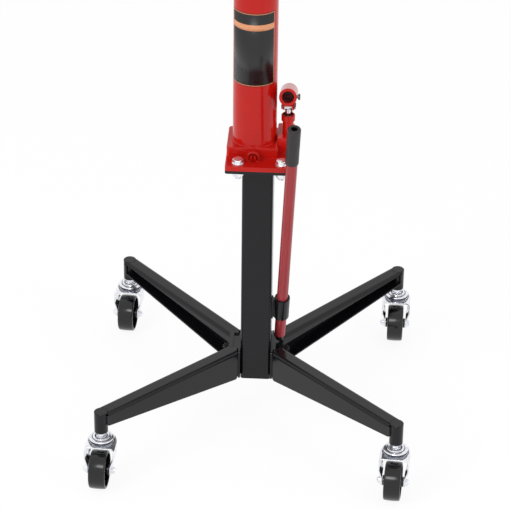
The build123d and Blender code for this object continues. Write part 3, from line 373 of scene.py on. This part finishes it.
def finish_of(key):
    """A finish that the finishes operator has made."""
    names = {"red_paint": "red_gloss_paint", "black_paint": "black_gloss_paint",
             "arm_paint": "black_saddle_paint", "zinc_plate": "bright_zinc_plating",
             "wheel_plastic": "glossy_wheel_plastic", "grip_rubber": "soft_grip_rubber",
             "seal_rubber": "soft_seal_rubber"}
    return bpy.data.materials[names[key]]


# ---- geometry node trees ----
def new_tree(name, sockets):
    """Geometry node tree with a geometry input and output, and named inputs for its sizes."""
    tree = bpy.data.node_groups.new(name, "GeometryNodeTree")
    tree.interface.new_socket("Geometry", in_out="INPUT", socket_type="NodeSocketGeometry")
    for socket, kind in sockets:
        tree.interface.new_socket(socket, in_out="INPUT", socket_type="NodeSocket" + kind)
    tree.interface.new_socket("Geometry", in_out="OUTPUT", socket_type="NodeSocketGeometry")
    return tree, tree.nodes.new("NodeGroupInput").outputs


def close_tree(tree, geometry, material):
    """Ends a tree in real, finished geometry."""
    real = add(tree, "GeometryNodeRealizeInstances", {"Geometry": geometry})
    done = add(tree, "GeometryNodeSetMaterial", {"Geometry": real.outputs[0], "Material": material})
    add(tree, "NodeGroupOutput", {"Geometry": done.outputs[0]})
    return tree


def turned_tree():
    """Turns an outline of edges in X and Z about the Z axis."""
    tree, given = new_tree("Turned", [("Points", "Int"), ("Segments", "Int"), ("Material", "Material")])
    columns = math(tree, "ADD", given["Segments"], 1.0)
    grid = add(tree, "GeometryNodeMeshGrid", {"Vertices X": columns, "Vertices Y": given["Points"]})
    index = add(tree, "GeometryNodeInputIndex").outputs[0]
    column = math(tree, "FLOOR", math(tree, "DIVIDE", index, given["Points"]))
    row = math(tree, "MODULO", index, given["Points"])
    place = add(tree, "GeometryNodeInputPosition").outputs[0]
    sample = add(tree, "GeometryNodeSampleIndex", {"Geometry": given["Geometry"], "Index": row},
                 data_type="FLOAT_VECTOR", domain="POINT")
    tree.links.new(place, next(s for s in sample.inputs if s.name == "Value" and s.type == "VECTOR"))
    taken = next(s for s in sample.outputs if s.type == "VECTOR" and s.enabled)
    outline = add(tree, "ShaderNodeSeparateXYZ", {0: taken}).outputs
    angle = math(tree, "MULTIPLY", math(tree, "DIVIDE", column, given["Segments"]), 2 * pi)
    x = math(tree, "MULTIPLY", outline["X"], math(tree, "COSINE", angle))
    y = math(tree, "MULTIPLY", outline["X"], math(tree, "SINE", angle))
    spot = add(tree, "ShaderNodeCombineXYZ", {"X": x, "Y": y, "Z": outline["Z"]}).outputs[0]
    shaped = add(tree, "GeometryNodeSetPosition", {"Geometry": grid.outputs["Mesh"], "Position": spot})
    closed = add(tree, "GeometryNodeMergeByDistance", {"Geometry": shaped.outputs[0], "Distance": 1e-6})
    return close_tree(tree, closed.outputs[0], given["Material"])


def bead_tree():
    """Lays a rippled weld bead along each curve."""
    tree, given = new_tree("Weld bead", [("Radius", "Float"), ("Pitch", "Float"), ("Ripple", "Float"),
                                         ("Material", "Material")])
    step = math(tree, "DIVIDE", given["Pitch"], 5.0)
    path = add(tree, "GeometryNodeResampleCurve", {"Curve": given["Geometry"], "Length": step}, mode="LENGTH")
    along = add(tree, "GeometryNodeSplineParameter").outputs["Length"]
    wave = math(tree, "ABSOLUTE", math(tree, "SINE", math(tree, "MULTIPLY", along,
                                                       math(tree, "DIVIDE", pi, given["Pitch"]))))
    swell = math(tree, "ADD", 1.0, math(tree, "MULTIPLY", math(tree, "SUBTRACT", wave, 1.0), given["Ripple"]))
    radius = math(tree, "MULTIPLY", swell, given["Radius"])
    section = add(tree, "GeometryNodeCurvePrimitiveCircle", {"Resolution": 10, "Radius": 1.0})
    bead = add(tree, "GeometryNodeCurveToMesh", {"Curve": path.outputs[0],
                                                 "Profile Curve": section.outputs["Curve"],
                                                 "Scale": radius, "Fill Caps": True})
    return close_tree(tree, bead.outputs[0], given["Material"])


def thread_tree():
    """Stands a short helical ridge on each point."""
    tree, given = new_tree("Bolt thread", [("Radius", "Float"), ("Pitch", "Float"), ("Depth", "Float"),
                                           ("Turns", "Float"), ("Rotation", "Rotation"),
                                           ("Material", "Material")])
    height = math(tree, "MULTIPLY", given["Pitch"], given["Turns"])
    helix = add(tree, "GeometryNodeCurveSpiral", {"Resolution": 32, "Rotations": given["Turns"],
                                                  "Start Radius": given["Radius"],
                                                  "End Radius": given["Radius"], "Height": height})
    section = add(tree, "GeometryNodeCurvePrimitiveCircle", {"Resolution": 4, "Radius": given["Depth"]})
    ridge = add(tree, "GeometryNodeCurveToMesh", {"Curve": helix.outputs[0],
                                                  "Profile Curve": section.outputs["Curve"],
                                                  "Fill Caps": True})
    placed = add(tree, "GeometryNodeInstanceOnPoints", {"Points": given["Geometry"],
                                                        "Instance": ridge.outputs[0],
                                                        "Rotation": given["Rotation"]})
    return close_tree(tree, placed.outputs[0], given["Material"])


def ridge_tree():
    """Sets bars of a four-sided section at even steps along each curve."""
    tree, given = new_tree("Finger ridges", [("Count", "Int"), ("Height", "Float"), ("Width", "Float"),
                                             ("Rotation", "Rotation"), ("Material", "Material")])
    spots = add(tree, "GeometryNodeCurveToPoints", {"Curve": given["Geometry"], "Count": given["Count"]},
                mode="COUNT")
    bar = add(tree, "GeometryNodeMeshCylinder", {"Vertices": 4, "Radius": given["Height"],
                                                 "Depth": given["Width"]}, fill_type="NGON")
    placed = add(tree, "GeometryNodeInstanceOnPoints", {"Points": spots.outputs["Points"],
                                                        "Instance": bar.outputs["Mesh"],
                                                        "Rotation": given["Rotation"]})
    return close_tree(tree, placed.outputs[0], given["Material"])


def set_inputs(modifier, values):
    """Sets a modifier's inputs by the identifier of each named socket."""
    for item in modifier.node_group.interface.items_tree:
        if item.item_type == "SOCKET" and item.in_out == "INPUT" and item.name in values:
            modifier[item.identifier] = values[item.name]


def grow(source, tree, values):
    """The plain mesh that a tree makes of an object, which is then removed."""
    bpy.context.collection.objects.link(source)
    modifier = source.modifiers.new("shape", "NODES")
    modifier.node_group = tree
    set_inputs(modifier, values)
    graph = bpy.context.evaluated_depsgraph_get()
    mesh = bpy.data.meshes.new_from_object(source.evaluated_get(graph), depsgraph=graph)
    bpy.data.objects.remove(source)
    if not mesh.polygons:
        raise RuntimeError(f"{tree.name} made no faces")
    return mesh


def outward(mesh, crease=35.0):
    """Merges doubles, turns every face outwards and shades it smooth up to a crease."""
    shape = bmesh.new()
    shape.from_mesh(mesh)
    bmesh.ops.remove_doubles(shape, verts=shape.verts, dist=1e-6)
    bmesh.ops.recalc_face_normals(shape, faces=shape.faces)
    shape.to_mesh(mesh)
    shape.free()
    mesh.shade_smooth()
    mesh.set_sharp_from_angle(angle=radians(crease))
    return mesh


def piece(name, mesh, body):
    """A finished piece, its place in its mesh, riding on its body."""
    mesh.name = name
    made = bpy.data.objects.new(name, mesh)
    bpy.context.collection.objects.link(made)
    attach(made, body)
    return made


def path_object(name, runs):
    """A curve of straight runs; each is (points, closed)."""
    curve = bpy.data.curves.new(name, "CURVE")
    curve.dimensions = "3D"
    for points, closed in runs:
        spline = curve.splines.new("POLY")
        spline.points.add(len(points) - 1)
        spline.use_cyclic_u = closed
        for slot, point in zip(spline.points, points):
            slot.co = (*point, 1.0)
    return bpy.data.objects.new(name, curve)


def ring(centre, radius, steps=72, start=0.0, sweep=2 * pi):
    """Points of a level arc, its angle counted from +X."""
    angles = [start + sweep * i / steps for i in range(steps if sweep == 2 * pi else steps + 1)]
    return [Vector((centre[0] + radius * cos(a), centre[1] + radius * sin(a), centre[2])) for a in angles]


def corner_arc(centre, radius, first, last, steps=6):
    """Points of an arc in an outline, in degrees from +X towards +Z."""
    angles = [radians(first + (last - first) * i / steps) for i in range(steps + 1)]
    return [(centre[0] + radius * cos(a), centre[1] + radius * sin(a)) for a in angles]


def turned_mesh(outline, segments, material):
    """Mesh of a closed outline of (radius, height) turned about Z."""
    closed = [*outline, outline[0]]
    flat = bpy.data.meshes.new("outline")
    flat.from_pydata([(r, 0.0, z) for r, z in closed], [(i, i + 1) for i in range(len(closed) - 1)], [])
    source = bpy.data.objects.new("outline", flat)
    values = {"Points": len(closed), "Segments": segments, "Material": material}
    return outward(grow(source, bpy.data.node_groups.get("Turned") or turned_tree(), values))


# ---- operators ----
class JACK_OT_finishes(bpy.types.Operator):
    """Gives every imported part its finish"""

    bl_idname = "jack.finishes"
    bl_label = "Finishes"

    def execute(self, context):
        finishes = make_finishes(context.scene.jack.finish)
        for node, part in frame["nodes"].items():
            key = "cast_paint" if node == "base_casting" else NODE_SLOT[node]
            for slot in part.material_slots:
                slot.material = finishes[key]
        return {"FINISHED"}


class JACK_OT_wheels(bpy.types.Operator):
    """Turns the four moulded wheels, with a crowned tread and recessed sides"""

    bl_idname = "jack.wheels"
    bl_label = "Wheels"

    def outline(self, s):
        """Half of the section, mirrored to the other side."""
        half, hub, web, rim = s.tread / 2, s.hub / 2, s.web / 2, s.radius - s.rim
        edge = s.radius - s.crown - s.edge
        lip = 0.0009
        side = [(s.bore, 0.0), (s.bore, hub - lip / 2), (s.bore + lip / 2, hub)]
        side += corner_arc((s.hub_radius - lip, hub - lip), lip, 90, 0)
        side += corner_arc((s.hub_radius + 3 * lip, web + 3 * lip), 3 * lip, 180, 270)
        side += corner_arc((rim - 3 * lip, web + 3 * lip), 3 * lip, 270, 360)
        side += corner_arc((rim + lip, half - lip), lip, 180, 90)
        side += corner_arc((edge, half - s.edge), s.edge, 90, 0)
        flat = half - s.edge
        crown = [(s.radius - s.crown * (z / flat) ** 2, z)
                 for z in (0.75 * flat, 0.5 * flat, 0.25 * flat, 0.0)]
        side += crown
        return side + [(r, -z) for r, z in reversed(side[1:-1])]

    def execute(self, context):
        s = context.scene.jack.wheel
        outline = self.outline(s)
        for corner in CORNERS:
            joint = JOINTS["wheel_spin_" + corner]
            axis = Vector(joint["axis"])
            mesh = turned_mesh(outline, s.segments, finish_of("wheel_plastic"))
            turn = Vector((0, 0, 1)).rotation_difference(axis).to_matrix().to_4x4()
            mesh.transform(Matrix.Translation(joint["pos_m"]) @ turn)
            wheel = piece("wheel_" + corner, mesh, "wheel_" + corner)
            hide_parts("caster_wheel_" + corner)
        return {"FINISHED"}


class JACK_OT_raceways(bpy.types.Operator):
    """Turns the pressed raceways above the forks, a stack of rounded rings"""

    bl_idname = "jack.raceways"
    bl_label = "Raceways"

    def execute(self, context):
        low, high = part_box("caster_races")
        bottom, top = low.z, high.z
        outer, bead, bore, height = 0.0245, 0.0039, 0.00625, top - bottom
        lip, rim, recess, nut, sink = 0.0010, 0.0166, 0.0125, 0.0101, 0.0003
        floor = height - 0.0046
        outline = [(bore, 0.0), (outer - bead, 0.0)]
        outline += corner_arc((outer - bead, bead), bead, -90, 90, 14)
        outline += [(rim + lip, 2 * bead - sink)]
        outline += corner_arc((rim - lip, height - lip), lip, -10, 90)
        outline += corner_arc((recess + lip, height - lip), lip, 90, 180)
        outline += [(recess, floor), (nut, floor), (nut, height), (bore, height)]
        whole = bmesh.new()
        for corner in CORNERS:
            joint = JOINTS["caster_swivel_" + corner]
            mesh = turned_mesh(outline, 72, finish_of("zinc_plate"))
            mesh.transform(Matrix.Translation((joint["pos_m"][0], joint["pos_m"][1], bottom)))
            whole.from_mesh(mesh)
        mesh = bpy.data.meshes.new("raceways")
        whole.to_mesh(mesh)
        whole.free()
        mesh.materials.append(finish_of("zinc_plate"))
        rings = piece("caster_raceways", outward(mesh, 30.0), "base")
        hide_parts("caster_races")
        return {"FINISHED"}


class JACK_OT_welds(bpy.types.Operator):
    """Lays the weld beads of the base, the column and the tube's foot"""

    bl_idname = "jack.welds"
    bl_label = "Weld beads"

    def tube_paths(self):
        """Ring where the reservoir tube stands on its block."""
        seat = 0.004
        return [(ring((TUBE_X, 0.0, TUBE_LOW.z + seat), TUBE_RADIUS), True)]

    def column_paths(self):
        """Column under its top plate."""
        half, corner = 0.030, 0.006
        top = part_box("column_top_plate")[0].z
        inner = half - corner
        turns = ((inner, inner, 0), (-inner, inner, 90), (-inner, -inner, 180), (inner, -inner, 270))
        square = [Vector((*spot, top)) for x, y, first in turns
                  for spot in corner_arc((x, y), corner, first, first + 90)]
        return [(square, True)]

    def socket_paths(self):
        """Each socket in the end of its leg."""
        back, aside, low, high = 0.0050, 0.0136, 0.1255, 0.1465
        runs = []
        for corner, (side, end) in CORNERS.items():
            x, y, _ = JOINTS["caster_swivel_" + corner]["pos_m"]
            leg = Vector((LEG_RUN[0] * side, LEG_RUN[1] * end)).normalized()
            across = Vector((-leg.y, leg.x))
            for hand in (-1, 1):
                spot = Vector((x, y)) - back * leg + aside * hand * across
                runs.append(([Vector((*spot, z)) for z in (low, high)], False))
        return runs

    def execute(self, context):
        s = context.scene.jack.weld
        tree = bead_tree()
        jobs = (("tube_weld", self.tube_paths(), s.radius, "red_paint"),
                ("column_weld", self.column_paths(), s.radius, "black_paint"),
                ("socket_welds", self.socket_paths(), s.corner_radius, "black_paint"))
        for name, runs, radius, slot in jobs:
            values = {"Radius": radius, "Pitch": s.pitch, "Ripple": s.ripple, "Material": finish_of(slot)}
            mesh = outward(grow(path_object(name, runs), tree, values), 70.0)
            piece(name, mesh, "base")
        return {"FINISHED"}


class JACK_OT_threads(bpy.types.Operator):
    """Cuts the threads on the bolt ends that stand out of their nuts"""

    bl_idname = "jack.threads"
    bl_label = "Bolt threads"

    def execute(self, context):
        s = context.scene.jack.thread
        tree = thread_tree()
        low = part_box("flange_bolts")[0].z
        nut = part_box("flange_nuts")[0].z
        across, along, heights, radius = (-0.036, 0.046), (-0.065, 0.065), (0.098, 0.124), 0.006
        upright = [(x, y, low + s.pitch / 2) for x in across for y in along]
        reach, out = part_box("hub_bolts")[1].x, 0.003
        level = [(reach - out + s.pitch / 2, 0.0, z) for z in heights]
        jobs = (("flange_bolt_threads", upright, nut - low, (0.0, 0.0, 0.0), "zinc_plate"),
                ("hub_bolt_threads", level, out, (0.0, radians(90), 0.0), "black_paint"))
        for name, spots, shown, turn, slot in jobs:
            points = bpy.data.meshes.new(name)
            points.from_pydata(spots, [], [])
            values = {"Radius": radius, "Pitch": s.pitch, "Depth": s.depth,
                      "Turns": shown / s.pitch - 1.0, "Rotation": turn, "Material": finish_of(slot)}
            mesh = outward(grow(bpy.data.objects.new(name, points), tree, values))
            piece(name, mesh, "base")
        return {"FINISHED"}


class JACK_OT_panel(bpy.types.Operator):
    """Lays the blank bordered panel on the reservoir tube"""

    bl_idname = "jack.panel"
    bl_label = "Blank panel"

    def sheet(self, name, patches, proud, material, slot):
        """Curved patches (left, right, bottom, top) that follow the tube, a film's thickness proud."""
        shape = bmesh.new()
        reach = TUBE_RADIUS + proud
        for left, right, bottom, top in patches:
            steps = max(2, round(abs(right - left) / radians(2)))
            angles = [left + (right - left) * i / steps for i in range(steps + 1)]
            rows = [[shape.verts.new((TUBE_X + reach * sin(angle), -reach * cos(angle), z))
                     for angle in angles] for z in (bottom, top)]
            for i in range(steps):
                shape.faces.new((rows[0][i], rows[0][i + 1], rows[1][i + 1], rows[1][i]))
        mesh = bpy.data.meshes.new(name)
        shape.to_mesh(mesh)
        shape.free()
        mesh.materials.append(material)
        mesh.shade_smooth()
        made = piece(name, mesh, "base")
        solid = made.modifiers.new("film", "SOLIDIFY")
        solid.thickness = 0.0001
        solid.offset = -1.0
        return made

    def film(self, name, base):
        """Printed film: satin, with a faint weave of print."""
        material, tree, shader, where = blank(name)
        print_grain = noise(tree, where, 260.0, 3.0)
        tone = blend_colours(tree, spread(tree, print_grain, 0.0, 1.0), tinted(base, 0.9), tinted(base, 1.1))
        tree.links.new(tone, shader.inputs["Base Color"])
        tree.links.new(spread(tree, print_grain, 0.26, 0.34), shader.inputs["Roughness"])
        surface(tree, shader, print_grain, 0.00001)
        return material

    def execute(self, context):
        s = context.scene.jack.panel
        line, inset = s.border / TUBE_RADIUS, s.inset / TUBE_RADIUS
        left, right = s.left + inset, s.right - inset
        bottom, top = s.bottom + s.inset, s.top - s.inset
        field = self.film("panel_field", s.field)
        bright = self.film("panel_line", s.line)
        self.sheet("panel_field", [(s.left, s.right, s.bottom, s.top)], 0.00015, field, "label_black")
        lines = [(left, right, bottom, bottom + s.border), (left, right, top - s.border, top),
                 (left, left + line, bottom, top), (right - line, right, bottom, top),
                 (left, right, s.band_bottom, s.band_bottom + s.band_height)]
        self.sheet("panel_lines", lines, 0.00028, bright, "label_orange")
        return {"FINISHED"}


class JACK_OT_grip(bpy.types.Operator):
    """Turns the soft grip at the head of the handle"""

    bl_idname = "jack.grip"
    bl_label = "Handle grip"

    def execute(self, context):
        joint = JOINTS["handle_lift_out"]
        length, head_wall, foot = 0.0850, 0.0030, 0.5465 - 0.0850
        tube, outer, hole = 0.0110, 0.0127, 0.0062
        lip, shoulder, rim = 0.0012, 0.0032, 0.0008
        outline = [(tube, 0.0), (outer - lip, 0.0)]
        outline += corner_arc((outer - lip, lip), lip, -90, 0)
        outline += corner_arc((outer - shoulder, length - shoulder), shoulder, 0, 90, 10)
        outline += corner_arc((hole + rim, length - rim), rim, 90, 180, 4)
        outline += [(hole, length - head_wall), (tube, length - head_wall)]
        mesh = turned_mesh(outline, 72, finish_of("grip_rubber"))
        axis = Vector(joint["axis"]).normalized()
        turn = Vector((0, 0, 1)).rotation_difference(axis).to_matrix().to_4x4()
        start = Vector(joint["pos_m"]) + foot * axis
        mesh.transform(Matrix.Translation(start) @ turn)
        grip = piece("soft_grip", mesh, "handle")
        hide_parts("handle_grip")
        return {"FINISHED"}


class JACK_OT_wiper(bpy.types.Operator):
    """Turns the rubber wiper ring in the collar of the pump"""

    bl_idname = "jack.wiper"
    bl_label = "Pump wiper"

    def execute(self, context):
        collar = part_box("pump_cylinder")[1].z
        x, y, _ = JOINTS["plunger_slide"]["pos_m"]
        recess, bore, outer, lip = 0.0050, 0.0050, 0.00985, 0.0008
        clear, shoulder = 0.00005, 0.0018
        outline = [(bore, clear), (outer, clear), (outer, shoulder)]
        outline += corner_arc((outer - lip, shoulder), lip, 0, 90, 4)
        outline += corner_arc((bore + lip, shoulder + lip), lip, 90, 180, 4)
        mesh = turned_mesh(outline, 48, finish_of("seal_rubber"))
        mesh.transform(Matrix.Translation((x, y, collar - recess)))
        piece("pump_wiper", mesh, "base")
        return {"FINISHED"}


class JACK_OT_ridges(bpy.types.Operator):
    """Sets the gripping ridges on the saddle's fingers"""

    bl_idname = "jack.ridges"
    bl_label = "Finger ridges"

    def execute(self, context):
        s = context.scene.jack.ridge
        tree = ridge_tree()
        slant, reach, low, high = 0.8, 0.089, 0.012, 0.040
        for corner, (side, end) in CORNERS.items():
            pivot = Vector(JOINTS["arm_swing_" + corner]["pos_m"])
            angle = atan2(end * slant, side)
            out = Vector((cos(angle), sin(angle), 0.0))
            foot = pivot + out * reach
            line = [foot + Vector((0, 0, z)) for z in (low, high)]
            values = {"Count": s.count, "Height": s.height, "Width": s.width,
                      "Rotation": (radians(90), 0.0, angle), "Material": finish_of("arm_paint")}
            mesh = outward(grow(path_object("ridge_line", [(line, False)]), tree, values), 20.0)
            piece("finger_ridges_" + corner, mesh, "arm_" + corner)
        return {"FINISHED"}


class JACK_OT_stage(bpy.types.Operator):
    """Makes the floor, the soft light and the camera"""

    bl_idname = "jack.stage"
    bl_label = "Stage"

    def seen(self, tree):
        """1 for a ray that shows the background: from the camera, off gloss or through glass."""
        rays = add(tree, "ShaderNodeLightPath").outputs
        bent = math(tree, "MAXIMUM", rays["Is Glossy Ray"], rays["Is Transmission Ray"])
        return math(tree, "MAXIMUM", rays["Is Camera Ray"], bent)

    def floor(self, s):
        """Wide pale floor that is seen white, directly and in gloss, and keeps the jack's shadow."""
        half = 14.0
        mesh = bpy.data.meshes.new("floor")
        corners = [(-half, -half, 0), (half, -half, 0), (half, half, 0), (-half, half, 0)]
        mesh.from_pydata(corners, [], [(0, 1, 2, 3)])
        floor = bpy.data.objects.new("floor", mesh)
        bpy.context.collection.objects.link(floor)
        material, tree, shader, _ = blank("pale_floor")
        shader.inputs["Base Color"].default_value = (*s.floor, 1.0)
        shader.inputs["Roughness"].default_value = 0.9
        shader.inputs["Specular IOR Level"].default_value = 0.1
        white = add(tree, "ShaderNodeEmission", {"Color": (1, 1, 1, 1), "Strength": 1.05})
        share_seen = math(tree, "MULTIPLY", self.seen(tree), s.whiteness)
        mixed = add(tree, "ShaderNodeMixShader", {0: share_seen, 1: shader.outputs[0], 2: white.outputs[0]})
        tree.links.new(mixed.outputs[0], tree.nodes["Material Output"].inputs["Surface"])
        mesh.materials.append(material)

    def world(self, s):
        """Even light, and white wherever it is seen."""
        world = bpy.data.worlds.new("studio")
        world.use_nodes = True
        tree = world.node_tree
        background = tree.nodes["Background"]
        background.inputs["Color"].default_value = (1.0, 1.0, 1.0, 1.0)
        tree.links.new(math(tree, "MAXIMUM", self.seen(tree), s.world), background.inputs["Strength"])
        bpy.context.scene.world = world

    def lamp(self, name, spot, size, power, in_gloss=False):
        """Soft lamp that lights the surfaces alone, or shows in gloss alone."""
        light = bpy.data.lights.new(name, "AREA")
        light.energy = power
        light.shape = "RECTANGLE"
        light.size, light.size_y = size
        lamp = bpy.data.objects.new(name, light)
        lamp.location = spot
        lamp.rotation_mode = "QUATERNION"
        lamp.rotation_quaternion = (Vector((0, 0, 0.55)) - Vector(spot)).to_track_quat("-Z", "Y")
        lamp.visible_glossy = in_gloss
        lamp.visible_diffuse = not in_gloss
        bpy.context.collection.objects.link(lamp)

    def camera(self, s):
        """Camera from its place, its target and its roll."""
        forward = (Vector(s.target) - Vector(s.camera)).normalized()
        level = forward.cross(Vector((0, 0, 1))).normalized()
        upright = level.cross(forward)
        right = level * cos(s.roll) + upright * sin(s.roll)
        top = upright * cos(s.roll) - level * sin(s.roll)
        data = bpy.data.cameras.new("camera")
        data.lens, data.sensor_width = s.lens, 36.0
        camera = bpy.data.objects.new("camera", data)
        turn = Matrix((right, top, -forward)).transposed().to_4x4()
        camera.matrix_world = Matrix.Translation(s.camera) @ turn
        bpy.context.collection.objects.link(camera)
        bpy.context.scene.camera = camera

    def execute(self, context):
        s = context.scene.jack.stage
        self.floor(s)
        self.world(s)
        self.lamp("key_left", (-2.4, -2.2, 2.6), (1.6, 2.2), s.key)
        self.lamp("fill_right", (2.8, -1.6, 1.8), (1.4, 1.8), s.fill)
        self.lamp("high_front", (-0.45, -2.9, 3.3), (1.3, 1.0), s.sparkle, in_gloss=True)
        self.camera(s)
        context.scene.view_settings.view_transform = "Standard"
        return {"FINISHED"}


class JACK_PT_sidebar(bpy.types.Panel):
    """Lists the jack's operators and settings"""

    bl_idname = "JACK_PT_sidebar"
    bl_label = "Transmission Jack"
    bl_space_type = "VIEW_3D"
    bl_region_type = "UI"
    bl_category = "Jack"

    def draw(self, context):
        layout = self.layout
        for operator in OPERATORS:
            layout.operator(operator.bl_idname)
        for name in JackSettings.__annotations__:
            group = getattr(context.scene.jack, name)
            box = layout.box()
            box.label(text=name.capitalize())
            for setting in group.__annotations__:
                box.prop(group, setting)


OPERATORS = (JACK_OT_finishes, JACK_OT_wheels, JACK_OT_raceways, JACK_OT_welds, JACK_OT_threads,
             JACK_OT_panel, JACK_OT_grip, JACK_OT_wiper, JACK_OT_ridges, JACK_OT_stage)
CLASSES = (JackFinishSettings, JackWheelSettings, JackWeldSettings, JackThreadSettings, JackPanelSettings,
           JackRidgeSettings, JackStageSettings, JackSettings, *OPERATORS, JACK_PT_sidebar)


def register():
    for cls in CLASSES:
        bpy.utils.register_class(cls)
    bpy.types.Scene.jack = PointerProperty(type=JackSettings)


def unregister():
    del bpy.types.Scene.jack
    for cls in reversed(CLASSES):
        bpy.utils.unregister_class(cls)


def main():
    register()
    for operator in OPERATORS:
        group, name = operator.bl_idname.split(".")
        getattr(getattr(bpy.ops, group), name)()


if __name__ == "__main__":
    main()
